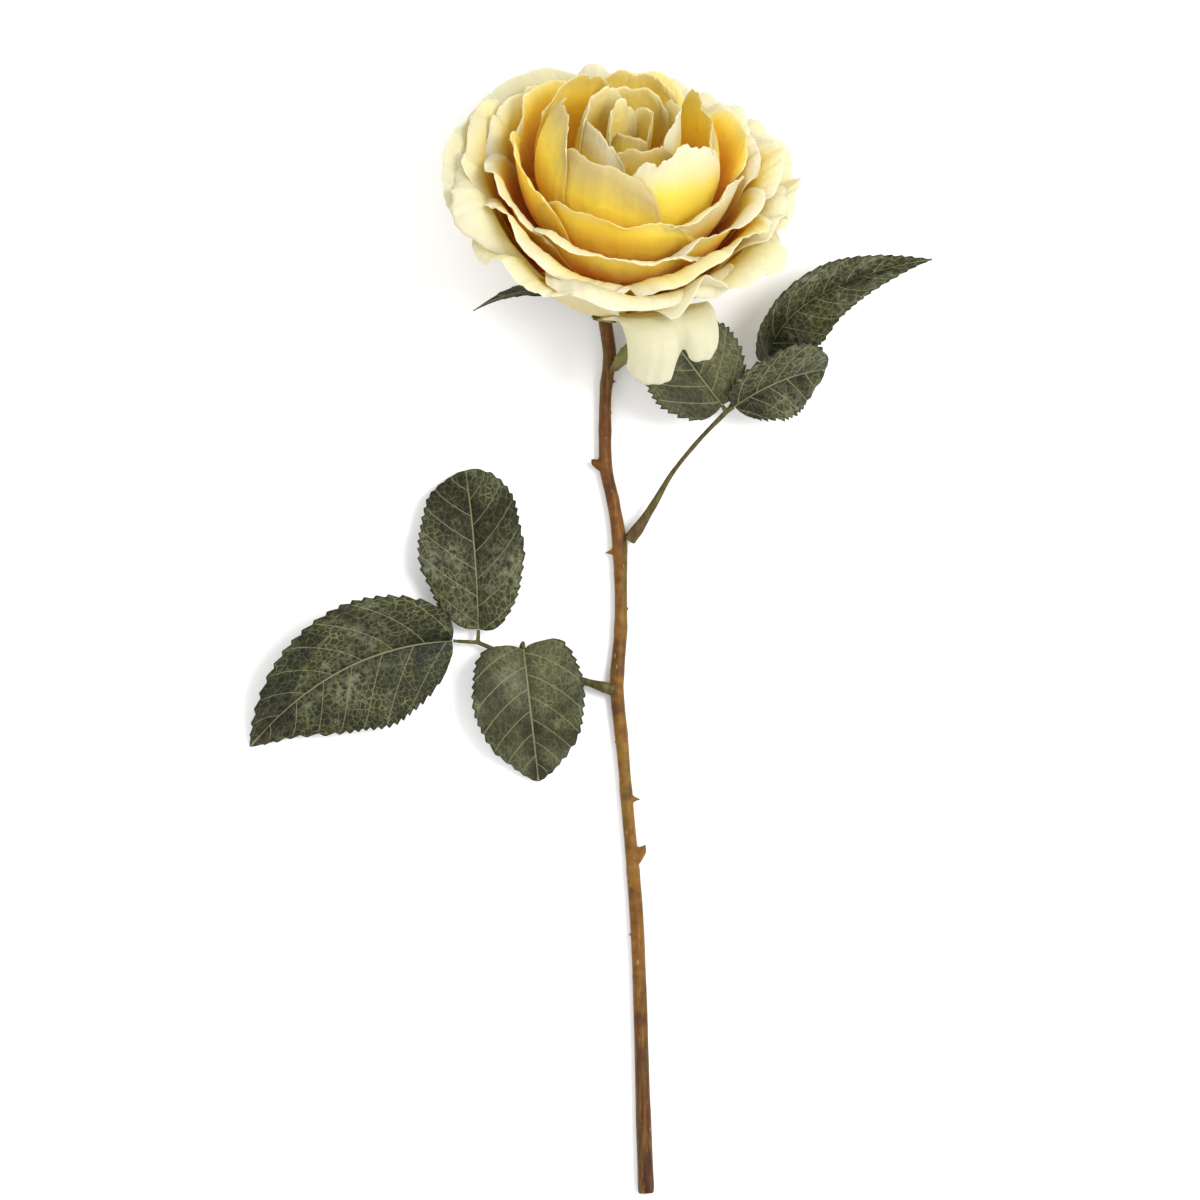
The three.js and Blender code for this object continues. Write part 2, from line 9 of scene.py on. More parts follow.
import bpy
import numpy as np
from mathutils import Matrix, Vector


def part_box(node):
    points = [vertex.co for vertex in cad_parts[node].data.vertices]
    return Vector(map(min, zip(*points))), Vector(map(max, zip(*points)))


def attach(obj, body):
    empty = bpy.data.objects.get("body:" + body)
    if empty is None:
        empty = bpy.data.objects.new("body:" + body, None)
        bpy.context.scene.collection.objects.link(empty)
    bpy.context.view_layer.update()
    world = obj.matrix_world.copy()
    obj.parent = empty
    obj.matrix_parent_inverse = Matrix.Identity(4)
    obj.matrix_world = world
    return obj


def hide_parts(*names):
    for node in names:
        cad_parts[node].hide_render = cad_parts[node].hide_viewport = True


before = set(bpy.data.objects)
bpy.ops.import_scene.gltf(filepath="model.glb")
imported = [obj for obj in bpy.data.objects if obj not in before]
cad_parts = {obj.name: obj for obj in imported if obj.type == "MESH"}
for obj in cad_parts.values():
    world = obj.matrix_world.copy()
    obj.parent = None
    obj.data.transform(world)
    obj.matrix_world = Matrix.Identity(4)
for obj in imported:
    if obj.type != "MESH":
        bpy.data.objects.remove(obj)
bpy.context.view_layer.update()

# ---- Sizes, in millimetres ----

PETAL_THICKNESS = 0.28
LEAF_THICKNESS = 0.4
SEPAL_THICKNESS = 0.5

SEAT = np.array([8.3, 124.5, 28.49])  # middle of the receptacle
RISE = math.radians(40)  # the bloom's axis above the surface
LEAN = math.radians(8)  # and towards +X

# The rings of petals, as in the CAD model: each petal is (azimuth, width, reach).
RINGS = {
    "fallen": dict(
        step=8, radius=54, height=8, rear=0, saddle=0, leave=-24, arrive=16, room=0, petals=[(297, 34, 1.0)],
    ),
    "guard": dict(
        step=7, radius=58, height=25, rear=2, saddle=4, leave=-16, arrive=26, room=0.85,
        petals=[(28, 54, 0.98), (96, 54, 1.0), (180, 50, 1.0), (240, 52, 0.97), (322, 54, 1.0)],
    ),
    "outer": dict(
        step=6, radius=54.5, height=29.5, rear=2, saddle=4, leave=-7, arrive=40, room=0.8,
        petals=[(12, 60, 0.98), (72, 56, 0.97), (136, 58, 1.0), (204, 60, 0.98), (282, 64, 1.0)],
    ),
    "middle": dict(
        step=5, radius=50, height=32.5, rear=1.5, saddle=3.5, leave=1, arrive=52, room=0.8,
        petals=[(30, 54, 1.0), (98, 54, 0.95), (168, 54, 0.98), (242, 60, 1.0), (318, 58, 1.0)],
    ),
    "inner": dict(
        step=4, radius=44.5, height=35, rear=1, saddle=2.5, leave=6, arrive=63, room=0.95,
        petals=[(42, 44, 0.97), (98, 42, 0.94), (154, 44, 0.98), (208, 50, 0.98), (268, 62, 1.0),
                (330, 52, 1.0)],
    ),
    "cup": dict(
        step=3, radius=37, height=41, rear=-0.5, saddle=0, leave=14, arrive=78, room=1.1,
        petals=[(26, 42, 1.0), (86, 38, 1.0), (144, 40, 1.0), (206, 46, 1.0), (268, 58, 0.94), (330, 48, 0.98)],
    ),
    "crown": dict(
        step=2, radius=22, height=54, rear=-2, saddle=0, leave=24, arrive=116, room=1.35,
        petals=[(22, 38, 0.97), (88, 32, 0.94), (140, 36, 0.96), (194, 38, 1.0), (252, 46, 0.89), (312, 44, 0.96)],
    ),
    "heart": dict(
        step=1, radius=13.5, height=53, rear=-1, saddle=0, leave=56, arrive=98, room=1.3,
        petals=[(14, 29, 1.0), (82, 29, 0.98), (150, 30, 1.0), (222, 30, 0.93), (292, 28, 0.9)],
    ),
    "bud": dict(
        step=0, radius=6.5, height=51, rear=0, saddle=0, leave=80, arrive=92, room=0.7,
        petals=[(40, 17, 0.97), (148, 19, 1.0), (268, 16, 0.92)],
    ),
}
CAD_PETAL = 0.45  # the petals' thickness in the CAD model, which sets their spacing

# What the cloth does beyond the rings' shapes: the lip rolls outwards by roll degrees over its last lip millimetres
# and waves by ruffle, the body swells by bulge, both side edges turn out by side, and fray is how torn the edge is.
CLOTH = {
    "fallen": dict(roll=4, lip=5, ruffle=0.5, bulge=0.4, side=0.5, fray=0.3, colour="pale"),
    "guard": dict(roll=64, lip=16, ruffle=3.4, bulge=1.0, side=1.8, fray=0.35, colour="outer"),
    "outer": dict(roll=80, lip=15, ruffle=3.2, bulge=1.0, side=1.8, fray=0.35, colour="outer"),
    "middle": dict(roll=78, lip=12.5, ruffle=2.6, bulge=0.9, side=1.5, fray=0.45, colour="golden"),
    "inner": dict(roll=56, lip=9, ruffle=1.7, bulge=0.9, side=1.2, fray=0.4, colour="golden"),
    "cup": dict(roll=24, lip=8, ruffle=1.1, bulge=1.1, side=0.9, fray=0.35, colour="middle"),
    "crown": dict(roll=10, lip=6, ruffle=0.8, bulge=1.5, side=0.7, fray=1.0, colour="inner"),
    "heart": dict(roll=6, lip=5, ruffle=0.6, bulge=0.8, side=0.4, fray=1.0, colour="inner"),
    "bud": dict(roll=4, lip=4, ruffle=0.4, bulge=0.5, side=0.3, fray=0.8, colour="inner"),
}
# Petals that stand out from their ring.
ODD_PETALS = {
    "petal_guard_3": dict(roll=34, ruffle=2.6, lip=18, colour="pale"),
    "petal_outer_3": dict(roll=14, ruffle=2.2, lip=18, colour="pale"),
    "petal_outer_4": dict(roll=105, lip=13, fray=0.9),
    "petal_outer_5": dict(roll=95, lip=13, ruffle=2.2),
    "petal_middle_4": dict(roll=100, lip=12, fray=0.7),
    "petal_crown_4": dict(fray=1.6, roll=-8),
    "petal_crown_5": dict(fray=0.8, roll=0),
    "petal_crown_6": dict(fray=1.5, roll=16, ruffle=1.2, colour="torn"),
    "petal_cup_6": dict(roll=34, ruffle=1.3, colour="torn"),
    "petal_cup_1": dict(roll=34, ruffle=1.2),
    "petal_heart_1": dict(colour="torn"),
    "petal_heart_3": dict(colour="torn"),
    "petal_heart_4": dict(colour="torn", fray=1.4),
    "petal_bud_2": dict(colour="torn"),
}
STEP_FIRST = (2.2, 4.2)
STEP_OUT = 1.35
STEP_DOWN = 1.75
HANDLES = (0.5, 0.42)
PETAL_WIDEST = 0.66
TIP_ROUNDING = 0.13
FALL = dict(start=0.8, to=-96, bend=20, hang=9)
BASE_ROOM = 0.45

CALYX_LENGTH = 15.5
CALYX_RADIUS = 7.2
CALYX_WIDEST = 7.4
SEPALS = dict(count=5, first=126, tip=24.5, width=8, rise=8.3)
STAMENS = dict(count=26, radius=1.35, height=33, thickness=0.28, spread=3.4)
GAP = 0.3

STEM = [
    (18.1, -183.0, 2.85, 2.7), (17.0, -151.4, 2.6, 2.4), (16.1, -119.4, 2.6, 2.25), (15.0, -93.8, 2.7, 2.25),
    (13.5, -74.6, 2.8, 2.1), (11.8, -55.4, 2.9, 2.0), (10.4, -38.0, 3.0, 2.05), (8.7, -19.0, 3.1, 2.25),
    (9.9, -1.0, 3.0, 2.1), (9.9, 15.0, 3.0, 2.1), (9.4, 28.0, 3.1, 2.4), (7.4, 40.6, 3.0, 2.0),
    (5.2, 50.6, 3.0, 2.15), (4.8, 64.0, 3.0, 2.0), (5.1, 77.0, 3.4, 2.0), (6.3, 87.0, 4.6, 2.1),
]
NECK_RADIUS = 2.3
PRICKLES = [
    (0.286, 165, 1.9, 1.3, 0.5), (0.437, 5, 3.6, 1.5, -0.6), (0.372, 10, 3.2, 3.0, 2.6), (0.5, 172, 1.5, 0.9, 0.2),
    (0.648, 8, 1.5, 1.1, 0.3), (0.712, 172, 4.0, 1.6, -0.3), (0.808, 165, 3.0, 2.2, 1.6), (0.868, 12, 1.3, 0.8, 0.2),
    (0.902, 15, 2.2, 1.2, 0.4), (0.55, 80, 1.4, 1.0, 0.3),
]
STALKS = {
    "stalk_left": (
        [(7.6, -20.4, 4.0, 2.1), (2.6, -19.0, 4.8, 1.6), (-4.0, -17.0, 4.6, 1.1), (-19.2, -12.2, 3.4, 0.8),
         (-36.2, -5.1, 4.4, 0.75)],
        [
            [(-36.2, -5.1, 4.4, 0.7), (-36.0, -1.0, 5.0, 0.6)],
            [(-36.2, -5.1, 4.4, 0.7), (-44.2, -4.6, 5.2, 0.55)],
            [(-22.6, -10.9, 3.5, 0.7), (-22.2, -6.4, 4.6, 0.65), (-21.6, -5.2, 6.8, 0.6), (-21.4, -7.0, 8.0, 0.6)],
        ],
    ),
    "stalk_right": (
        [(12.7, 28.0, 4.6, 2.1), (15.6, 31.8, 5.8, 1.9), (20.6, 39.6, 7.6, 1.25), (26.4, 49.4, 10.4, 0.85),
         (35.2, 60.2, 14.0, 0.75), (43.8, 69.1, 16.0, 0.85)],
        [
            [(43.8, 69.1, 16.0, 0.8), (42.6, 71.0, 17.0, 0.65)],
            [(43.8, 69.1, 16.0, 0.8), (46.2, 70.6, 17.2, 0.65)],
            [(43.8, 69.1, 16.0, 0.7), (50.6, 77.6, 9.6, 0.65), (55.4, 83.6, 8.2, 0.6), (56.9, 86.4, 10.2, 0.55)],
        ],
    ),
}
# How each leaflet lies, as in the CAD model, and its outline and cloth: teeth along a side, tooth their depth, pairs
# of side veins, wave of the margin, light how pale it is, and the exponents of the outline at foot and tip.
USUAL_LEAF = dict(heel=0, tooth=1.25, light=0.2, foot_shape=2.2, tip_shape=(1.3, 1.0))
LEAVES = {
    "leaflet_left_end": dict(
        on=("stalk_left", 1), middle=(-82.0, -6.0, 17.0), tip=(-109.8, -38.7, 0.9),
        faces=((0.1, -0.25, 1), (0.05, -0.45, 1)), half=23.5, fold=20, widest=0.42, heel=2,
        teeth=21, veins=7, wave=1.3, light=0.1, tip_shape=(1.5, 0.85),
    ),
    "leaflet_left_upper": dict(
        on=("stalk_left", 0), middle=(-36.4, 26.0, 15.0), tip=(-40.2, 50.4, 2.4),
        faces=((-0.25, 0, 1), (-0.2, 0.1, 1)), half=19.0, fold=18, widest=0.5, heel=3,
        teeth=19, tooth=0.9, veins=6, wave=0.9, foot_shape=1.5, tip_shape=(2.1, 0.58),
    ),
    "leaflet_left_lower": dict(
        on=("stalk_left", 2), middle=(-19.0, -28.0, 16.0), tip=(-16.6, -49.9, 1.6),
        faces=((-0.1, 0.1, 1), (0.05, -0.2, 1)), half=19.2, fold=14, widest=0.4, heel=9,
        teeth=17, tooth=0.9, veins=6, wave=1.0, light=0.9, tip_shape=(1.9, 0.8),
    ),
    "leaflet_right_inner": dict(
        on=("stalk_right", 0), middle=(30.0, 87.0, 25.0), tip=(20.6, 100.5, 18.0),
        faces=((0.1, 0, 1), (-0.1, 0.1, 1)), half=17.5, fold=18, widest=0.46, heel=3,
        teeth=15, veins=6, wave=0.7, light=1.0, tip_shape=(1.8, 0.8),
    ),
    "leaflet_right_lower": dict(
        on=("stalk_right", 1), middle=(61.0, 81.0, 25.0), tip=(75.8, 83.0, 9.0),
        faces=((0, -0.75, 1), (0.25, -0.55, 1)), half=14.0, fold=16, widest=0.55,
        teeth=13, veins=5, wave=0.8, tip_shape=(2.2, 0.6),
    ),
    "leaflet_right_end": dict(
        on=("stalk_right", 2), middle=(63.0, 110.0, 31.0), tip=(110.4, 118.6, 1.0),
        faces=((0.6, -0.4, 1), (0.1, 0.35, 1)), half=14.0, fold=36, widest=0.34,
        teeth=22, tooth=0.6, veins=8, wave=0.6, tip_shape=(1.25, 0.85),
    ),
    "bract_left": dict(
        on=("stem", 0.985), middle=(-16.0, 114.0, 14.0), tip=(-37.6, 101.8, 8.0),
        faces=((0, 0.9, 0.45), (0, 0.9, 0.45)), half=7.0, fold=14, widest=0.45, teeth=6, veins=5, wave=0.4,
    ),
    "bract_right": dict(
        on=("stem", 0.915), middle=(10.5, 86.0, 13.5), tip=(16.4, 96.5, 16.5),
        faces=((0.5, -0.5, 1), (0.5, -0.5, 1)), half=3.2, fold=10, widest=0.55, teeth=6, veins=4, wave=0.2,
    ),
}
LEAF_FOOT_HALF = 0.45

# ---- The frame and the stage, in metres ----

STEM_ENDS = (-0.182, 0.11)  # along Y
PICTURE_WIDTH = 0.384  # across the surface
PICTURE_MIDDLE = (3.2, 8.6, 0)  # in design millimetres
CAMERA_HEIGHT = 3.03
CAMERA_TO_ROSE = 3.0
FLOOR_HALF = 6.0
SKY = 1.28
KEY_LIGHT = dict(at=(0.85, 0.3, 1.6), aim=(0.0, 0.06, 0.0), size=0.7, power=22)

# ---- Small tools ----


def unit(v):
    v = np.asarray(v, float)
    return v / np.linalg.norm(v, axis=-1, keepdims=True)


def ease(x, low, high):
    t = np.clip((x - low) / (high - low), 0, 1)
    return t * t * (3 - 2 * t)


def waves(x, seed, lowest=1.0, count=3, fall=0.6):
    """Smooth seeded noise along x, about -1 to 1, built from count waves of rising frequency."""
    rng = np.random.default_rng(seed)
    total, weight = np.zeros_like(np.asarray(x, float)), 0.0
    for i in range(count):
        size = fall**i
        total += size * np.sin(x * lowest * 1.9**i * rng.uniform(0.8, 1.2) + rng.uniform(0, 2 * math.pi))
        weight += size
    return total / weight * 1.6


def distances(points):
    """The distance along a path at each of its points."""
    return np.concatenate([[0], np.cumsum(np.linalg.norm(np.diff(points[:, :3], axis=0), axis=1))])


def polar(radius, turn, height):
    return np.stack([radius * np.cos(turn), radius * np.sin(turn), height], -1)


# ---- From design millimetres to frame metres ----

AXIS = np.array([math.sin(LEAN) * math.cos(RISE), math.cos(LEAN) * math.cos(RISE), math.sin(RISE)])
RIGHT = np.array([math.cos(LEAN), -math.sin(LEAN), 0.0])
REAR = np.cross(AXIS, RIGHT)


def step_of(ring):
    return STEP_FIRST[0] + STEP_OUT * ring["step"], STEP_FIRST[1] - STEP_DOWN * ring["step"]


def calyx_outline():
    """The turned outline of the receptacle and the hip, as (radius, height) in the bloom's frame."""
    last_radius, last_height = step_of(RINGS["fallen"])
    bottom = last_height - CALYX_LENGTH
    return [
        (0, bottom), (NECK_RADIUS + 0.2, bottom), (CALYX_RADIUS * 0.72, bottom + 3.2),
        (CALYX_RADIUS, bottom + CALYX_WIDEST), (CALYX_RADIUS * 0.9, bottom + 11.2),
        (last_radius - BASE_ROOM - 1.6, last_height - 1.6), (last_radius - BASE_ROOM, last_height - 0.4),
        (STEP_FIRST[0] - BASE_ROOM, STEP_FIRST[1]), (0, STEP_FIRST[1]),
    ]


def frame_shift():
    """How far the frame's origin lies from the design's: the calyx is a turned solid, so its box is known."""
    outline = np.array(calyx_outline())
    spread = np.sqrt(1 - AXIS**2)
    high = (outline[:, 1:] * AXIS + outline[:, :1] * spread).max(0) + SEAT
    low = (outline[:, 1:] * AXIS - outline[:, :1] * spread).min(0) + SEAT
    box_low, box_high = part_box("calyx")
    return (np.array(box_low) + np.array(box_high)) * 500 - (low + high) / 2


SHIFT = frame_shift()


def put(points):
    return (np.asarray(points, float) + SHIFT) / 1000


def from_bloom(points):
    """Points in the bloom's frame (right, rear, out along the axis) as design points."""
    p = np.asarray(points, float)
    return SEAT + p[..., :1] * RIGHT + p[..., 1:2] * REAR + p[..., 2:] * AXIS


def settled(points, thickness):
    """Design points, pushed up off the surface that the rose lies on where they would sink in."""
    p = np.array(points, float)
    softness, lowest = 3.0, thickness / 2 + 0.1
    depth = p[..., 2] - lowest
    lifted = np.where(depth < -softness, 0, (depth + softness) ** 2 / (4 * softness))
    p[..., 2] = np.where(depth > softness, p[..., 2], lowest + lifted)
    return p


# ---- Meshes ----


def make_object(name, verts, faces, attributes=None, uv=None):
    mesh = bpy.data.meshes.new(name + "_look")
    mesh.from_pydata([tuple(v) for v in verts], [], faces)
    for key, values in (attributes or {}).items():
        layer = mesh.attributes.new(key, "FLOAT", "POINT")
        layer.data.foreach_set("value", np.asarray(values, np.float32).ravel())
    if uv is not None:
        layer = mesh.uv_layers.new(name="cloth")
        loops = np.zeros(len(mesh.loops), np.int32)
        mesh.loops.foreach_get("vertex_index", loops)
        layer.data.foreach_set("uv", np.asarray(uv, np.float32)[loops].ravel())
    mesh.polygons.foreach_set("use_smooth", [True] * len(mesh.polygons))
    mesh.update()
    obj = bpy.data.objects.new(name + "_look", mesh)
    bpy.context.scene.collection.objects.link(obj)
    return obj


def grid_normals(points):
    return unit(np.cross(np.gradient(points, axis=0), np.gradient(points, axis=1)))


def sheet(name, points, thickness, uv, attributes, backs=(0, 1)):
    """A closed thin sheet over a grid of design points. thickness is a grid too, so that edges can be fine."""
    normals = grid_normals(points)
    n, m = points.shape[:2]
    half = thickness[..., None] / 2
    top, bottom = points + normals * half, points - normals * half
    verts = put(np.concatenate([top.reshape(-1, 3), bottom.reshape(-1, 3)]))
    index = np.arange(n * m).reshape(n, m)
    a, b, c, d = index[:-1, :-1], index[1:, :-1], index[1:, 1:], index[:-1, 1:]
    upper = np.stack([a, b, c, d], -1).reshape(-1, 4)
    lower = np.stack([a, d, c, b], -1).reshape(-1, 4) + n * m
    border = np.concatenate([index[:, 0], index[-1, 1:], index[-2::-1, -1], index[0, -2:0:-1]])
    after = np.roll(border, -1)
    rim = np.stack([border, border + n * m, after + n * m, after], -1)
    faces = np.concatenate([upper, lower, rim]).tolist()
    doubled = {k: np.concatenate([np.ravel(v), np.ravel(v)]) for k, v in attributes.items()}
    doubled["back"] = np.repeat(backs, n * m)
    flat = np.asarray(uv, float).reshape(-1, 2)
    return make_object(name, verts, faces, doubled, np.concatenate([flat, flat]))


def between(t, low, high, a, b):
    """What a at low and b at high come to at t, on a straight line."""
    return (high - t) / (high - low) * a + (t - low) / (high - low) * b


def catmull(points, count):
    """count rows of [x, y, z, radius] along a smooth curve through points, with the tangents."""
    p = np.asarray(points, float)
    p = np.vstack([2 * p[0] - p[1], p, 2 * p[-1] - p[-2]])
    knots = np.concatenate([[0], np.cumsum(np.linalg.norm(np.diff(p[:, :3], axis=0), axis=1) ** 0.5)])
    rows = []
    for t in np.linspace(knots[1], knots[-2], count):
        i = min(max(np.searchsorted(knots, t, side="right") - 1, 1), len(p) - 3)
        a = [between(t, knots[k], knots[k + 1], p[k], p[k + 1]) for k in (i - 1, i, i + 1)]
        b = [between(t, knots[i - 1 + k], knots[i + 1 + k], a[k], a[k + 1]) for k in (0, 1)]
        rows.append(between(t, knots[i], knots[i + 1], *b))
    rows = np.array(rows)
    return rows, unit(np.gradient(rows[:, :3], axis=0))


def bar_faces(rows, sides):
    """Faces of a closed bar that is made of rings of points, with flat ends."""
    faces = []
    for i in range(rows - 1):
        for j in range(sides):
            k = (j + 1) % sides
            faces.append((i * sides + j, i * sides + k, (i + 1) * sides + k, (i + 1) * sides + j))
    faces.append(tuple(range(sides - 1, -1, -1)))
    faces.append(tuple((rows - 1) * sides + j for j in range(sides)))
    return faces


def tube(rows, tangents, sides, swell=None):
    """Vertices and faces of a closed round bar. swell(along, around) scales its radius."""
    across = unit(np.stack([tangents[:, 1], -tangents[:, 0], np.zeros(len(rows))], -1))
    up = np.cross(across, tangents)
    around = np.linspace(0, 2 * math.pi, sides, endpoint=False)
    along = np.linspace(0, 1, len(rows))
    radius = rows[:, 3:4] * (1 if swell is None else swell(along[:, None], around[None, :]))
    radius = radius * np.ones((1, sides))
    ring = across[:, None] * np.cos(around)[None, :, None] + up[:, None] * np.sin(around)[None, :, None]
    return (rows[:, None, :3] + ring * radius[..., None]).reshape(-1, 3), bar_faces(len(rows), sides)


def merge(parts):
    verts, faces, start = [], [], 0
    for v, f in parts:
        verts.append(v)
        faces += [tuple(i + start for i in face) for face in f]
        start += len(v)
    return np.concatenate(verts), faces


def apply_modifiers(obj):
    bpy.context.view_layer.update()
    shaped = bpy.data.meshes.new_from_object(obj.evaluated_get(bpy.context.evaluated_depsgraph_get()))
    obj.modifiers.clear()
    obj.data = shaped


def fused(obj, voxel, smoothing):
    """Fuses overlapping shells into one skin and relaxes it, so that branches grow out of their stem."""
    remesh = obj.modifiers.new("fuse", "REMESH")
    remesh.mode = "VOXEL"
    remesh.voxel_size = voxel / 1000
    remesh.use_smooth_shade = True
    relax = obj.modifiers.new("relax", "SMOOTH")
    relax.factor = 0.5
    relax.iterations = smoothing
    apply_modifiers(obj)
    return obj


# ---- Petals ----


def profile(ring, azimuth, share):
    """Radius, height and slope angle of a ring's surface at azimuths in degrees and shares of its length."""
    start_radius, start_height = step_of(ring)
    turn = np.radians(azimuth)
    rim_radius = ring["radius"] + 0 * turn
    rim_height = ring["height"] + ring["rear"] * np.sin(turn) + ring["saddle"] * np.cos(2 * turn)
    chord = np.hypot(rim_radius - start_radius, rim_height - start_height)
    leave, arrive = math.radians(ring["leave"]), math.radians(ring["arrive"])
    x = [start_radius + 0 * turn, start_radius + HANDLES[0] * chord * math.cos(leave),
         rim_radius - HANDLES[1] * chord * math.cos(arrive), rim_radius]
    y = [start_height + 0 * turn, start_height + HANDLES[0] * chord * math.sin(leave),
         rim_height - HANDLES[1] * chord * math.sin(arrive), rim_height]

    def bezier(p, t):
        return (1 - t) ** 3 * p[0] + 3 * (1 - t) ** 2 * t * p[1] + 3 * (1 - t) * t**2 * p[2] + t**3 * p[3]

    def slope(p, t):
        return 3 * ((1 - t) ** 2 * (p[1] - p[0]) + 2 * (1 - t) * t * (p[2] - p[1]) + t**2 * (p[3] - p[2]))

    return bezier(x, share), bezier(y, share), np.arctan2(slope(y, share), slope(x, share))


def petal_outline(along, base):
    rising = base + (1 - base) * np.sin(np.clip(along / PETAL_WIDEST, 0, 1) * math.pi / 2)
    falling = np.sqrt(1 - ((np.maximum(along, PETAL_WIDEST) - PETAL_WIDEST) / 0.6) ** 2)
    return np.where(along < PETAL_WIDEST, rising, falling)


def spacing(ring, azimuth, sign):
    others = [(sign * (p[0] - azimuth)) % 360 for p in ring["petals"]]
    return min([a for a in others if a > 0] + [360])


def frayed(across, seed, fray):
    """How much of its length a petal lacks at its tip: a soft dip, and, when torn, notches and pulled threads."""
    rng = np.random.default_rng(seed)
    lack = rng.uniform(0.005, 0.03) * np.exp(-(((across - rng.uniform(-0.3, 0.3)) / 0.22) ** 2))
    lack = lack + 0.012 * waves(across, seed + 1, 4.0)
    for _ in range(rng.integers(1, 4)):
        middle, width = rng.uniform(-0.75, 0.75), rng.uniform(0.03, 0.09)
        depth = fray * rng.uniform(0.008, 0.03)
        ragged = 1 + 0.35 * waves(across, seed + 3, 60.0)
        lack = lack + depth * ragged * np.clip(1 - np.abs(across - middle) / width, 0, 1) ** 0.7
    return np.maximum(lack + fray * 0.0035 * waves(across, seed + 2, 45.0, 4, 0.8), -0.025)


def petal_grid(ring, petal, cloth, seed, columns, rows):
    """Bloom-frame points of a petal over a grid of across (-1 to 1) and along (0 to 1), and the two coordinates."""
    azimuth, width, reach = petal
    rng = np.random.default_rng(seed)
    across = np.sin(np.linspace(-math.pi / 2, math.pi / 2, columns) * 0.92) / math.sin(math.pi / 2 * 0.92)
    u, v = np.meshgrid(across, np.linspace(0, 1, rows) ** 0.9, indexing="ij")
    whole = math.hypot(ring["radius"], ring["height"]) * 1.05
    lip_start = 1 - cloth["lip"] / whole
    tip = 1 - TIP_ROUNDING * np.abs(u) ** 3 - frayed(u, seed, cloth["fray"])
    held = np.minimum(v, lip_start) * reach * tip
    room = math.radians(min(spacing(ring, azimuth, 1), spacing(ring, azimuth, -1))) * step_of(ring)[0]
    base = min(0.4 * room, 2.2) / (width / 2)
    middle_radius = profile(ring, azimuth + 0 * u, held)[0]
    half = width / 2 * petal_outline(v, base) * (1 + 0.012 * waves(v * 6 + np.sign(u) * 9, seed + 5, 2.0))
    turn = np.degrees(np.minimum(half / middle_radius, math.radians(75)))
    angle = azimuth + u * turn + rng.uniform(-2.5, 2.5) * ease(v, 0.3, 1)
    radius, height, slope = profile(ring, angle, held)
    lip = np.clip((v - lip_start) / (1 - lip_start), 0, 1)
    roll = np.radians(cloth["roll"]) * (1 + 0.45 * waves(u * 2.6, seed + 4) + rng.uniform(-0.35, 0.2))
    slope = slope - roll * lip**1.25
    middle = (slope[:, 1:] + slope[:, :-1]) / 2
    run = np.diff(lip, axis=1) * cloth["lip"] * (tip[:, 1:] * reach)
    radius[:, 1:] += np.cumsum(run * np.cos(middle), axis=1)
    height[:, 1:] += np.cumsum(run * np.sin(middle), axis=1)
    to_next = np.where(u >= 0, spacing(ring, azimuth, 1), spacing(ring, azimuth, -1))
    # outwards from the ring's surface: the spiral order, the swollen body, the side edges, and ruffles and creases
    offset = (CAD_PETAL + ring["room"]) * u * turn / to_next * ease(held, 0, 0.1)
    body = ease(v, 0.15, 0.55)
    offset += cloth["bulge"] * body * (1 - u**2) * (1 - 0.5 * lip)
    offset += cloth["side"] * ease(np.abs(u), 0.72, 1.0) * ease(v, 0.4, 0.8) * rng.uniform(0.4, 1.2)
    offset += cloth["ruffle"] * (0.25 * ease(v, 0.4, 1.0) + lip**1.3) * waves(u * 2.6, seed + 6)
    offset += 0.22 * body * waves(u * 7 + 0.8 * v, seed + 7, 1.0, 5, 0.75)
    offset += 0.35 * body * cloth["bulge"] * waves(u * 2.4 + 1.6 * v, seed + 12)
    offset += 0.3 * lip * cloth["ruffle"] * waves(u * 9 + v * 2, seed + 8, 1.0, 4, 0.75)
    return polar(radius + offset * np.sin(slope), np.radians(angle), height - offset * np.cos(slope)), u, v


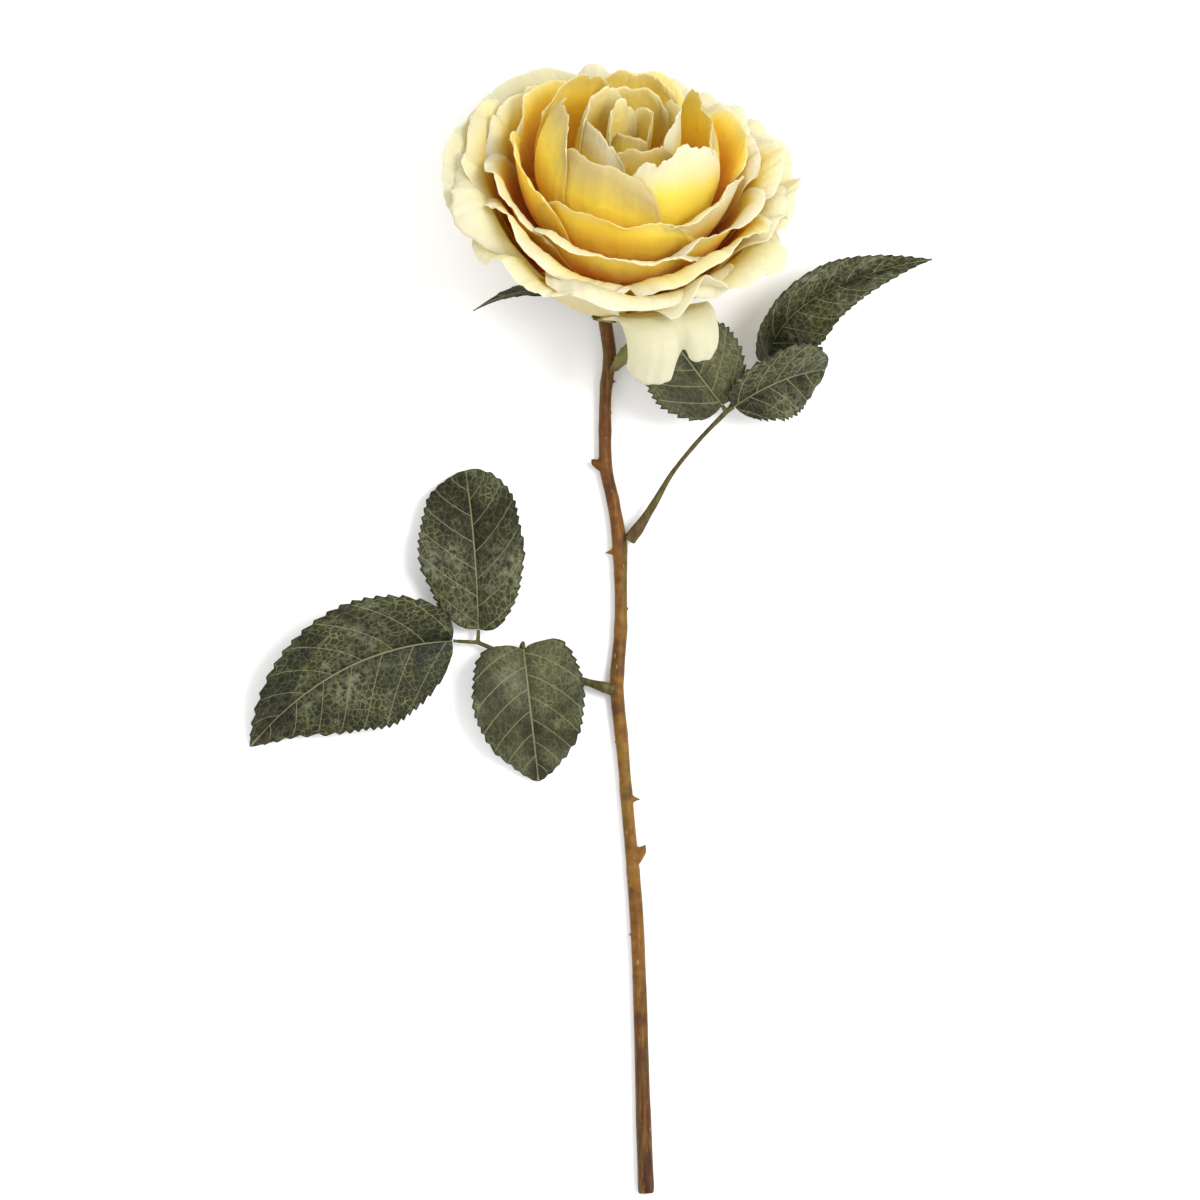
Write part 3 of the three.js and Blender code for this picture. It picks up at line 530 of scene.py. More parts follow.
def fallen_grid(ring, petal, cloth, seed, columns, rows):
    """The petal that folds down over the neck and hangs in two lobes with a soft fold between."""
    azimuth, width, reach = petal
    _, u, v = petal_grid(ring, petal, cloth, seed, columns, rows)
    start = FALL["start"]
    base = 2.2 / (width / 2)
    narrowed = petal_outline(start + (v - start) * 0.45, 0) / petal_outline(np.array(start), 0)
    kept = u * np.where(v > start, np.minimum(narrowed, 1), 1)
    share = np.minimum(v, start) * reach * (1 - TIP_ROUNDING * np.abs(kept) ** 3)
    middle_radius = profile(ring, azimuth + 0 * u, share)[0]
    turn = np.degrees(width / 2 * petal_outline(np.minimum(v, start), base) / middle_radius)
    angle = azimuth + kept * np.minimum(turn, 75)
    radius, height, _ = profile(ring, angle, share)
    first = float(profile(ring, np.array([float(azimuth)]), np.array([start * reach]))[2][0])
    last = math.radians(FALL["to"])
    lobes = 1.02 - 0.26 * np.exp(-(((u - 0.08) / 0.1) ** 2)) - 0.24 * ease(u, 0.0, 0.2) - 0.22 * u**6
    run = np.maximum(v - start, 0) / (1 - start) * (FALL["bend"] + FALL["hang"]) * lobes
    turned = np.minimum(run, FALL["bend"])
    bend = FALL["bend"] / (last - first)
    reached = first + turned / bend
    move_out = bend * (np.sin(reached) - math.sin(first)) + (run - turned) * math.cos(last)
    move_up = -bend * (np.cos(reached) - math.cos(first)) + (run - turned) * math.sin(last)
    falling = ease(v, start - 0.1, 1)
    fold = 4.6 * np.exp(-(((u - 0.08) / 0.17) ** 2)) * falling + 1.6 * u**4 * falling
    fold += 0.9 * falling * waves(u * 4 + v, seed + 3, 1.0, 4, 0.7)
    side = math.radians(azimuth)
    points = polar(radius, np.radians(angle), height)
    points[..., 0] += (move_out - fold) * math.cos(side)
    points[..., 1] += (move_out - fold) * math.sin(side)
    points[..., 2] += move_up
    return points, u, v


def make_petal(name, ring_name, index):
    ring, petal = RINGS[ring_name], RINGS[ring_name]["petals"][index]
    cloth = {**CLOTH[ring_name], **ODD_PETALS.get(name, {})}
    seed = 100 * ring["step"] + 7 * index + 11
    columns, rows = (44, 60) if ring["radius"] < 20 else (76, 90)
    grid = fallen_grid if ring_name == "fallen" else petal_grid
    local, u, v = grid(ring, petal, cloth, seed, columns, rows)
    points = settled(from_bloom(local), PETAL_THICKNESS)
    across_mm, along_mm = np.zeros((columns, rows)), np.zeros((columns, rows))
    across_mm[1:] = np.cumsum(np.linalg.norm(np.diff(points, axis=0), axis=-1), 0)
    along_mm[:, 1:] = np.cumsum(np.linalg.norm(np.diff(points, axis=1), axis=-1), 1)
    across_mm -= across_mm[columns // 2]
    to_side = np.minimum(across_mm - across_mm[:1], across_mm[-1:] - across_mm)
    to_edge = np.minimum(to_side, along_mm[:, -1:] - along_mm)
    thickness = PETAL_THICKNESS * (0.4 + 0.6 * ease(to_edge, 0, 0.8))
    attributes = {
        "length": v * (0.94 + 0.06 * np.abs(u) ** 2),
        "edge": np.clip(1 - to_edge / 5.0, 0, 1),
        "own": np.full(u.shape, (seed * 0.618) % 1.0),
    }
    uv = np.stack([across_mm, along_mm], -1) / 1000 + (seed % 17) * 0.05
    piece = sheet(name, points, thickness, uv, attributes, backs=(1, 0))
    dress(piece, MATERIALS["petal_" + cloth["colour"]], name)


# ---- Leaves ----


def leaf_foot(leaf):
    holder, place = leaf["on"]
    middle = np.array(leaf["middle"], float)
    if holder != "stem":
        end = np.array(STALKS[holder][1][place][-1][:3], float)
        return end + unit(middle - end) * GAP
    rows, tangents = catmull(stem_route(), 400)
    length = distances(rows)
    i = int(np.searchsorted(length, place * length[-1]))
    off = middle - rows[i, :3]
    off -= tangents[i] * off.dot(tangents[i])
    return rows[i, :3] + unit(off) * (NECK_RADIUS + GAP)


def leaf_outline(v, leaf):
    widest = leaf["widest"]
    rising = np.sqrt(np.maximum(1 - (np.clip(widest - v, 0, None) / widest) ** leaf["foot_shape"], 0))
    past = np.clip((v - widest) / (1 - widest), 0, 1)
    falling = (1 - past ** leaf["tip_shape"][0]) ** leaf["tip_shape"][1]
    return np.where(v < widest, rising, falling)


def make_leaf(name, leaf, seed):
    """A leaflet: folded along its midrib, toothed at the margin, and pillowed between its side veins."""
    bract = name.startswith("bract")
    columns, rows = (31, 130) if bract else (71, 240)
    u, v = np.meshgrid(np.linspace(-1, 1, columns), np.linspace(0, 1, rows), indexing="ij")
    foot, middle, tip = leaf_foot(leaf), np.array(leaf["middle"], float), np.array(leaf["tip"], float)
    t = v[..., None]
    line = (1 - t) ** 2 * foot + 2 * (1 - t) * t * middle + t**2 * tip
    onwards = unit((1 - t) * (middle - foot) + t * (tip - middle))
    face = unit((1 - t) * np.array(leaf["faces"][0], float) + t * np.array(leaf["faces"][1], float))
    side = unit(np.cross(onwards, face))
    up = np.cross(side, onwards)
    length = np.linalg.norm(np.diff(line[0], axis=0), axis=-1).sum()
    tooth = (v * leaf["teeth"] + 0.35 * waves(v * 9 + 3 * np.sign(u), seed + 2, 1.0, 2)) % 1.0
    cut = 1 - np.where(tooth < 0.8, tooth / 0.8, (1 - tooth) / 0.2)
    depth = leaf["tooth"] * ease(v, 0.03, 0.14) * (1 - ease(v, 0.95, 1.0))
    smooth_half = np.maximum(leaf["half"] * leaf_outline(v, leaf), LEAF_FOOT_HALF)
    half = smooth_half * (1 + 0.025 * waves(v * 7 + np.sign(u) * 3, seed))
    half = np.maximum(half - cut * depth * ease(np.abs(u), 0.75, 1), LEAF_FOOT_HALF * 0.7)
    reach = u * half
    aside = np.abs(reach) / length
    fold = math.radians(leaf["fold"])
    phase = leaf["veins"] * (v - 0.72 * aside - 0.06 * u**2) + 0.18 * np.sign(u)
    midrib = np.exp(-((reach / 0.6) ** 2))
    pillow = -0.5 * np.cos(2 * math.pi * phase) * (0.06 if bract else 0.34) * ease(np.abs(u), 0.05, 0.3)
    puckers = 0.10 * waves(reach * 2.2 + 3 * phase, seed + 5) * ease(np.abs(u), 0.05, 0.2)
    groove = -0.35 * midrib * (0.5 if bract else 1)
    wave = leaf["wave"] * np.abs(u) ** 2.5 * waves(v * 5 + 2.2 * np.sign(u), seed + 9, 1.3)
    rolled = -1.1 * leaf["wave"] * np.abs(u) ** 5
    lift = np.abs(reach) * math.sin(fold) + (pillow + puckers + groove) * ease(half, 1, 6)
    lift = lift + (wave + rolled) * ease(half, 2, 9)
    points = line + side * (reach * math.cos(fold))[..., None] + up * lift[..., None]
    points = points - onwards * (leaf["heel"] * np.abs(reach) * (1 - v) ** 2 / leaf["half"])[..., None]
    points = settled(points, LEAF_THICKNESS)
    to_edge = np.minimum(half - np.abs(reach), 4)
    thickness = LEAF_THICKNESS * (0.45 + 0.55 * ease(to_edge, 0, 0.9)) + 0.3 * midrib * ease(half, 0.5, 3)
    attributes = {
        "phase": phase,
        "reach": np.abs(reach),
        "length": v,
        "edge": np.clip(1 - to_edge / 2.2, 0, 1),
        "veins": np.full(u.shape, length / leaf["veins"]),
        "light": np.full(u.shape, leaf["light"]),
    }
    uv = np.stack([reach, v * length], -1) / 1000 + seed * 0.07
    piece = sheet(name, points, thickness, uv, attributes)
    material, slot = ("bract", "calyx") if name == "bract_right" else ("leaf", "leaf")
    dress(piece, MATERIALS[material], name)


# ---- Calyx, sepals and stamens ----


def make_calyx():
    """The turned outline with its corners rounded, and five faint ribs round the hip."""
    sides, rows = 60, 70
    outline = np.array(calyx_outline(), float)
    path = outline[1:-1]
    length = distances(path)
    t = np.linspace(0, length[-1], rows)
    radius, height = np.interp(t, length, path[:, 0]), np.interp(t, length, path[:, 1])
    for _ in range(3):
        radius[1:-1] = (radius[:-2] + 2 * radius[1:-1] + radius[2:]) / 4
        height[1:-1] = (height[:-2] + 2 * height[1:-1] + height[2:]) / 4
    around = np.linspace(0, 2 * math.pi, sides, endpoint=False)
    hip = np.exp(-(((height - outline[0, 1] - CALYX_WIDEST) / 6) ** 2))
    ribbed = radius[:, None] * (1 + 0.02 * hip[:, None] * np.cos(5 * around))
    verts = from_bloom(polar(ribbed, around + 0 * ribbed, height[:, None] + 0 * ribbed).reshape(-1, 3))
    piece = make_object("calyx", put(verts), bar_faces(rows, sides))
    dress(piece, MATERIALS["calyx"], "calyx")


def make_sepal(index):
    azimuth = math.radians(SEPALS["first"] + index * 360 / SEPALS["count"])
    columns, rows = 25, 70
    u, v = np.meshgrid(np.linspace(-1, 1, columns), np.linspace(0, 1, rows), indexing="ij")
    last_height = step_of(RINGS["fallen"])[1]
    run = (SEPALS["tip"] - CALYX_RADIUS - GAP) * v
    tooth = 0.35 * np.maximum(waves(v * 14 + 5 * np.sign(u), 300 + index, 1.2), 0) * ease(np.abs(u), 0.7, 1)
    half = np.maximum(SEPALS["width"] / 2 * np.sin(math.pi * (0.22 + 0.76 * v)), 0.35) + tooth * ease(v, 0.1, 0.3)
    radius = CALYX_RADIUS + GAP + run
    height = last_height - CALYX_LENGTH + CALYX_WIDEST + SEPALS["rise"] * (2.2 * v**2 - 1.6 * v)
    height = height - 0.12 * np.abs(u) * half + 0.5 * waves(v * 4, 310 + index, 1.0, 2) * v
    local = np.stack(
        [radius * math.cos(azimuth) - u * half * math.sin(azimuth),
         radius * math.sin(azimuth) + u * half * math.cos(azimuth), height], -1)
    points = settled(from_bloom(local), SEPAL_THICKNESS)
    thickness = SEPAL_THICKNESS * (0.4 + 0.6 * ease(half - np.abs(u) * half, 0, 0.8))
    attributes = {
        "phase": 5 * (v - 0.1 * np.abs(u)), "reach": np.abs(u) * half, "length": v, "edge": np.abs(u) ** 4,
        "veins": np.full(u.shape, SEPALS["tip"] / 5),
    }
    piece = sheet(f"sepal_{index + 1}", points, thickness, np.stack([u * half, run], -1) / 1000, attributes)
    dress(piece, MATERIALS["bract"], f"sepal_{index + 1}")


def make_stamens():
    """A short column that carries a tuft of threads, each with its anther."""
    rng = np.random.default_rng(5)
    foot = STEP_FIRST[1] + GAP
    thick = STAMENS["radius"]
    parts = [np.array([[0, 0, foot, thick], [0, 0, foot + 3, thick * 0.98], [0, 0, foot + 6, 1.0]])]
    for i in range(STAMENS["count"]):
        angle = i * 2.399
        spread = STAMENS["spread"] * math.sqrt((i + 0.5) / STAMENS["count"]) * rng.uniform(0.8, 1.1)
        height = STAMENS["height"] * rng.uniform(0.86, 1.02)
        way = np.array([math.cos(angle), math.sin(angle)])
        s = np.linspace(0, 1, 14)
        out = 0.55 * (1 - s) ** 2 + spread * s**1.6
        bend = 0.5 * np.sin(3 * s + rng.uniform(0, 6)) * s
        anther = np.exp(-(((s - 0.97) / 0.035) ** 2)) * rng.uniform(0.35, 0.6)
        parts.append(np.stack([
            out * way[0] - bend * way[1], out * way[1] + bend * way[0], foot + 2 + height * s,
            STAMENS["thickness"] * (1.1 - 0.5 * s) + anther], -1))
    shells = []
    for rows in parts:
        design = from_bloom(rows[:, :3])
        tangents = unit(np.gradient(design, axis=0))
        shells.append(tube(np.column_stack([design, rows[:, 3]]), tangents, 9))
    verts, faces = merge(shells)
    piece = fused(make_object("stamens", put(verts), faces), 0.22, 1)
    dress(piece, MATERIALS["stamens"], "stamens")


# ---- Stem and stalks ----


def stem_route():
    foot = step_of(RINGS["fallen"])[1] - CALYX_LENGTH - GAP
    on_axis = [tuple(SEAT + AXIS * h) + (NECK_RADIUS,) for h in (foot - 7, foot)]
    return STEM + on_axis


def prickle(rows, tangents, each):
    """A prickle, or where its base is thick the stub of a cut shoot, with its foot sunk in the stem."""
    share, around, length, base, rise = each
    gone = distances(rows)
    i = int(np.searchsorted(gone, share * gone[-1]))
    at, onwards = rows[i, :3], tangents[i]
    across = unit([onwards[1], -onwards[0], 0])
    up = np.cross(across, onwards)
    out = across * math.cos(math.radians(around)) + up * math.sin(math.radians(around))
    sunk, count, sides = 1.2, 16, 14
    s = np.linspace(0, 1, count)
    blunt = base > 2
    radius = base * ((1 - 0.62 * s) if blunt else (1 - s) ** 1.25 * 0.97 + 0.03)
    centre = at + out * (s * (length + sunk) + sunk * 0.4)[:, None] + onwards * (rise * s**2)[:, None]
    side = np.cross(onwards, out)
    turn = np.linspace(0, 2 * math.pi, sides, endpoint=False)
    ring = onwards * (1.25 * np.cos(turn))[:, None] + side * (-0.8 * np.sin(turn))[:, None]
    return (centre[:, None] + ring[None] * radius[:, None, None]).reshape(-1, 3), bar_faces(count, sides)


def make_stem():
    rows, tangents = catmull(stem_route(), 420)

    def swell(along, around):
        knots = sum(0.07 * np.exp(-(((along - each[0]) / 0.008) ** 2)) for each in PRICKLES)
        rough = 0.022 * waves(along * 60 + 2 * np.sin(around), 21, 1.0, 4)
        rough = rough + 0.012 * waves(around * 3 + along * 8, 22)
        cut_edge = -0.10 * np.exp(-((along / 0.0022) ** 2))
        return 1 + knots + rough + cut_edge

    shells = [tube(rows, tangents, 28, swell)] + [prickle(rows, tangents, each) for each in PRICKLES]
    verts, faces = merge(shells)
    piece = fused(make_object("stem", put(verts), faces), 0.34, 3)
    dress(piece, MATERIALS["stem"], "stem")


def make_stalk(name, main, twigs):
    """A leaf stalk and its short twigs in one skin, cut clear of the stem that it starts from."""

    def swell(along, around):
        return 1 + 0.05 * waves(along * 16, 31) + 0 * around

    shells = []
    for route, count, sides in [(main, 120, 16)] + [(twig, 24, 12) for twig in twigs]:
        shells.append(tube(*catmull(route, count), sides, swell))
    verts, faces = merge(shells)
    piece = fused(make_object(name, put(verts), faces), 0.24, 2)
    rows, tangents = catmull(stem_route(), 200)
    rows[:, 3] += GAP
    clear, clear_faces = tube(rows, tangents, 24)
    tool = make_object("clearance", put(clear), clear_faces)
    boolean = piece.modifiers.new("clear", "BOOLEAN")
    boolean.operation, boolean.object, boolean.solver = "DIFFERENCE", tool, "EXACT"
    apply_modifiers(piece)
    bpy.data.objects.remove(tool)
    dress(piece, MATERIALS["stalk"], name)


# ---- Materials ----


class Nodes:
    """A material's node tree, with short calls for its nodes. Their inputs take sockets, numbers or colours."""

    def __init__(self, name):
        self.material = bpy.data.materials.new(name)
        self.material.use_nodes = True
        self.tree = self.material.node_tree
        self.tree.nodes.clear()

    def add(self, kind, inputs, output=0, **settings):
        node = self.tree.nodes.new(kind)
        for key, value in settings.items():
            setattr(node, key, value)
        for key, value in inputs.items():
            target = node.inputs[key]
            if not isinstance(value, (int, float, tuple)):
                self.tree.links.new(value, target)
            else:
                target.default_value = (*value, 1) if target.type == "RGBA" else value
        return node.outputs[output]

    def cloth(self, scale=(1, 1, 1)):
        source = self.add("ShaderNodeUVMap", {}, uv_map="cloth")
        return self.add("ShaderNodeMapping", {"Vector": source, "Scale": scale})

    def place(self, scale=(1, 1, 1)):
        source = self.add("ShaderNodeTexCoord", {}, "Object")
        return self.add("ShaderNodeMapping", {"Vector": source, "Scale": scale})

    def height(self, where):
        """The frame's Y, which runs from the cut end of the stem to the bloom."""
        return self.add("ShaderNodeSeparateXYZ", {0: where}, "Y")

    def attribute(self, name):
        return self.add("ShaderNodeAttribute", {}, "Fac", attribute_name=name)

    def math(self, operation, a, b):
        return self.add("ShaderNodeMath", {0: a, 1: b}, operation=operation)

    def times(self, a, b):
        return self.math("MULTIPLY", a, b)

    def ramp(self, value, stops):
        result = self.add("ShaderNodeValToRGB", {0: value})
        elements = result.node.color_ramp.elements
        while len(elements) < len(stops):
            elements.new(0.5)
        for element, (position, colour) in zip(elements, stops):
            element.position, element.color = position, (*colour, 1)
        return result

    def spread(self, value, low, high, to_low=0.0, to_high=1.0):
        inputs = {"Value": value, "From Min": low, "From Max": high, "To Min": to_low, "To Max": to_high}
        return self.add("ShaderNodeMapRange", inputs)

    def mix(self, factor, a, b, blend="MIX"):
        return self.add("ShaderNodeMix", {0: factor, 6: a, 7: b}, 2, data_type="RGBA", blend_type=blend)

    def over(self, base, mask, strength, colour):
        """A colour laid over the base where the mask is, up to a strength."""
        return self.mix(self.times(mask, strength), base, colour)

    def shaded(self, base, mask, shade):
        """The base, multiplied by a shade where the mask is."""
        return self.mix(mask, base, self.mix(1.0, base, shade, "MULTIPLY"))

    def noise(self, where, scale, detail=3.0, roughness=0.55, distortion=0.0):
        inputs = {"Vector": where, "Scale": scale, "Detail": detail, "Roughness": roughness, "Distortion": distortion}
        return self.add("ShaderNodeTexNoise", inputs)

    def patches(self, where, scale, low, high, strength=1.0, detail=2.0, roughness=0.55, distortion=0.0):
        """Soft patches, from nothing where the noise is under low to strength where it is over high."""
        return self.spread(self.noise(where, scale, detail, roughness, distortion), low, high, 0.0, strength)

    def grain(self, where, scale, low, high, detail=2.0):
        """A roughness that wanders between low and high."""
        return self.spread(self.noise(where, scale, detail), 0.3, 0.7, low, high)

    def ribs(self, where, scale, direction):
        inputs = {"Vector": where, "Scale": scale, "Distortion": 0.6, "Detail": 1.0}
        return self.add("ShaderNodeTexWave", inputs, "Fac", wave_type="BANDS", bands_direction=direction)

    def cells(self, where, scale, feature):
        return self.add("ShaderNodeTexVoronoi", {"Vector": where, "Scale": scale}, "Distance", feature=feature)

    def bump(self, height, distance, strength, before=None):
        inputs = {"Height": height, "Distance": distance, "Strength": strength}
        return self.add("ShaderNodeBump", inputs if before is None else {**inputs, "Normal": before})

    def surface(self, colour, roughness, normal, specular, sheen=0.0, through=0.0, glow=None):
        """The finished material. A share of its light, through, passes the sheet and takes the colour glow."""
        result = self.add("ShaderNodeBsdfPrincipled", {
            "Base Color": colour, "Roughness": roughness, "Normal": normal, "Specular IOR Level": specular,
            "Sheen Weight": sheen, "Sheen Roughness": 0.5})
        if through:
            passed = self.add("ShaderNodeBsdfTranslucent", {"Color": glow or colour, "Normal": normal})
            result = self.add("ShaderNodeMixShader", {0: through, 1: result, 2: passed})
        self.tree.links.new(result, self.tree.nodes.new("ShaderNodeOutputMaterial").inputs["Surface"])
        return self.material


# Petal colours from the foot to the lip: on the inner face, and on the back.
TINTS = {
    "outer": (
        [(0.0, (0.94, 0.40, 0.027)), (0.35, (0.94, 0.50, 0.046)), (0.56, (0.91, 0.65, 0.12)),
         (0.72, (0.87, 0.80, 0.37)), (0.84, (0.85, 0.82, 0.58)), (0.95, (0.83, 0.82, 0.67))],
        [(0.0, (0.88, 0.73, 0.19)), (0.35, (0.85, 0.76, 0.34)), (0.65, (0.84, 0.80, 0.50)),
         (0.9, (0.81, 0.80, 0.64))],
    ),
    "pale": (
        [(0.0, (0.85, 0.70, 0.24)), (0.5, (0.81, 0.77, 0.42)), (0.72, (0.76, 0.75, 0.58)), (1.0, (0.73, 0.73, 0.60))],
        [(0.0, (0.85, 0.77, 0.34)), (0.6, (0.82, 0.79, 0.56)), (1.0, (0.78, 0.78, 0.66))],
    ),
    "golden": (
        [(0.0, (0.98, 0.34, 0.03)), (0.42, (0.98, 0.40, 0.04)), (0.66, (0.97, 0.54, 0.06)),
         (0.79, (0.93, 0.78, 0.20)), (0.89, (0.86, 0.83, 0.53)), (0.97, (0.83, 0.82, 0.69))],
        [(0.0, (0.96, 0.70, 0.10)), (0.45, (0.95, 0.80, 0.10)), (0.82, (0.94, 0.83, 0.16)),
         (0.97, (0.84, 0.81, 0.56))],
    ),
    "middle": (
        [(0.0, (0.98, 0.35, 0.03)), (0.45, (0.98, 0.43, 0.04)), (0.70, (0.97, 0.62, 0.07)),
         (0.88, (0.93, 0.80, 0.18)), (0.96, (0.86, 0.81, 0.48)), (1.0, (0.81, 0.80, 0.62))],
        [(0.0, (0.97, 0.66, 0.08)), (0.45, (0.96, 0.80, 0.09)), (0.84, (0.95, 0.83, 0.11)),
         (0.93, (0.89, 0.80, 0.24)), (1.0, (0.82, 0.77, 0.42))],
    ),
    "inner": (
        [(0.0, (0.98, 0.56, 0.06)), (0.45, (0.97, 0.72, 0.10)), (0.70, (0.96, 0.81, 0.16)),
         (0.90, (0.93, 0.84, 0.30)), (1.0, (0.89, 0.85, 0.56))],
        # The back of the inner kind: the darker beige from 0.80 to the lip is painted shade.
        [(0.0, (0.97, 0.64, 0.07)), (0.46, (0.96, 0.81, 0.09)), (0.72, (0.94, 0.82, 0.12)),
         (0.80, (0.76, 0.65, 0.15)), (0.90, (0.60, 0.51, 0.22)), (1.0, (0.68, 0.61, 0.34))],
    ),
    "torn": (
        [(0.0, (0.97, 0.66, 0.07)), (0.45, (0.96, 0.79, 0.12)), (0.70, (0.91, 0.82, 0.30)),
         (1.0, (0.85, 0.83, 0.58))],
        [(0.0, (0.97, 0.70, 0.07)), (0.50, (0.96, 0.82, 0.09)), (0.70, (0.94, 0.82, 0.16)),
         (0.80, (0.85, 0.80, 0.50)), (0.88, (0.79, 0.79, 0.66)), (1.0, (0.77, 0.78, 0.68))],
    ),
}


def petal_material(kind):
    n = Nodes("petal_" + kind)
    inner, back = TINTS[kind]
    cloth, drawn_out = n.cloth(), n.cloth((1.0, 0.12, 1.0))
    place = n.math("ADD", n.attribute("length"), n.spread(n.noise(cloth, 45), 0.3, 0.7, -0.045, 0.045))
    place = n.math("ADD", place, n.spread(n.attribute("own"), 0, 1, -0.03, 0.03))
    colour = n.mix(n.attribute("back"), n.ramp(place, inner), n.ramp(place, back))
    streaks = n.noise(drawn_out, 900, 4, 0.6)
    colour = n.mix(n.spread(streaks, 0.4, 0.8, 0.0, 0.12), colour, (0.86, 0.74, 0.45), "MULTIPLY")
    colour = n.mix(n.patches(cloth, 90, 0.52, 0.85, 0.16, 4, 0.6), colour, (0.80, 0.74, 0.56), "MULTIPLY")
    colour = n.mix(n.spread(n.attribute("edge"), 0.8, 1.0, 0.0, 0.3), colour, (0.88, 0.86, 0.71))
    weave = n.math("ADD", n.times(n.ribs(cloth, 420, "X"), 0.7), n.times(n.ribs(cloth, 420, "Y"), 0.3))
    normal = n.bump(weave, 0.00006, 0.55)
    normal = n.bump(n.noise(drawn_out, 500), 0.0003, 0.6, normal)
    normal = n.bump(n.noise(cloth, 110, 3, 0.5, 0.8), 0.0012, 0.5, normal)
    rough = n.spread(streaks, 0.3, 0.7, 0.62, 0.8)
    glow = n.mix(0.4, colour, n.mix(1.0, colour, (1.0, 0.86, 0.45), "MULTIPLY"))
    return n.surface(colour, rough, normal, 0.25, sheen=0.1, through=0.5, glow=glow)


def vein_lines(n, midrib_mm, vein_mm):
    """Masks of a leaf's midrib and of its side veins, as thin lines that fade towards the margin."""
    midrib = n.spread(n.attribute("reach"), midrib_mm * 0.5, midrib_mm, 1.0, 0.0)
    away = n.times(n.math("PINGPONG", n.math("ADD", n.attribute("phase"), 10.0), 0.5), n.attribute("veins"))
    side = n.spread(away, vein_mm * 0.4, vein_mm, 1.0, 0.0)
    return midrib, n.times(side, n.spread(n.attribute("edge"), 0.2, 0.9, 1.0, 0.0))


def leaf_material():
    """Dark cloth with patches of painted highlight and shade, a net of fine veins, painted shade along the midrib."""
    n = Nodes("leaf")
    cloth = n.cloth()
    mottled, fine = n.noise(cloth, 420, 5, 0.65), n.noise(cloth, 1100, 4, 0.7)
    base = n.ramp(
        mottled, [(0.32, (0.006, 0.009, 0.002)), (0.52, (0.030, 0.034, 0.010)), (0.72, (0.072, 0.076, 0.026))])
    base = n.mix(n.patches(cloth, 34, 0.55, 0.70, 0.6), base, (0.050, 0.022, 0.010))
    # Painted highlight: pale patches that stand in for the key light's reflection off the leaf.
    painted_highlight = n.times(n.patches(cloth, 55, 0.50, 0.66, 1.0, 3, 0.6, 0.4), n.spread(mottled, 0.42, 0.6))
    base = n.over(base, n.times(painted_highlight, n.spread(fine, 0.35, 0.6, 0.35, 1.0)), 0.85, (0.27, 0.27, 0.20))
    base = n.over(base, n.attribute("light"), 0.55, (0.150, 0.152, 0.075))
    net = n.cells(n.cloth((1.0, 0.8, 1.0)), 520, "DISTANCE_TO_EDGE")
    lines = n.times(n.spread(net, 0.02, 0.085, 1.0, 0.0), n.spread(n.noise(cloth, 200, 2), 0.35, 0.6, 0.45, 1.0))
    base = n.over(base, lines, 0.75, (0.20, 0.215, 0.10))
    base = n.mix(n.spread(fine, 0.48, 0.62, 0.0, 0.45), base, (0.010, 0.013, 0.004))
    # Painted shade: dark patches, and darker towards the midrib, where the fold's valley lies.
    painted_shade = n.times(n.patches(cloth, 42, 0.45, 0.6, 1.0, 2, 0.5, 0.6), 0.85)
    base = n.shaded(base, painted_shade, (0.30, 0.30, 0.26))
    base = n.shaded(base, n.spread(n.attribute("reach"), 0.4, 4.5, 0.65, 0.0), (0.30, 0.32, 0.26))
    midrib, side = vein_lines(n, 0.5, 0.26)
    base = n.over(base, side, 0.7, (0.225, 0.23, 0.115))
    base = n.over(base, midrib, 0.75, (0.25, 0.25, 0.13))
    base = n.mix(n.spread(n.attribute("edge"), 0.45, 1.0, 0.0, 0.65), base, (0.012, 0.014, 0.005))
    colour = n.mix(n.attribute("back"), base, n.mix(0.6, base, (0.10, 0.12, 0.06)))
    colour = n.mix(1.0, colour, (0.84, 0.82, 0.80), "MULTIPLY")
    normal = n.bump(mottled, 0.00012, 0.7, n.bump(net, 0.00022, 0.7))
    return n.surface(colour, n.spread(mottled, 0.3, 0.7, 0.38, 0.6), normal, 0.16, through=0.03)


def bract_material():
    """Paler green than the leaves, brown at the foot and along the margin."""
    n = Nodes("bract")
    cloth = n.cloth()
    base = n.ramp(n.noise(cloth, 260, 4, 0.6), [(0.3, (0.10, 0.12, 0.018)), (0.7, (0.27, 0.28, 0.07))])
    midrib, side = vein_lines(n, 0.4, 0.2)
    base = n.over(base, n.math("MAXIMUM", midrib, side), 0.5, (0.26, 0.28, 0.12))
    base = n.over(base, n.attribute("edge"), 0.4, (0.13, 0.08, 0.03))
    base = n.mix(n.spread(n.attribute("length"), 0.05, 0.45, 0.9, 0.0), base, (0.11, 0.050, 0.016))
    normal = n.bump(n.noise(cloth, 1200, 3, 0.7), 0.00012, 0.6)
    return n.surface(base, n.grain(cloth, 300, 0.5, 0.7), normal, 0.3, through=0.1)


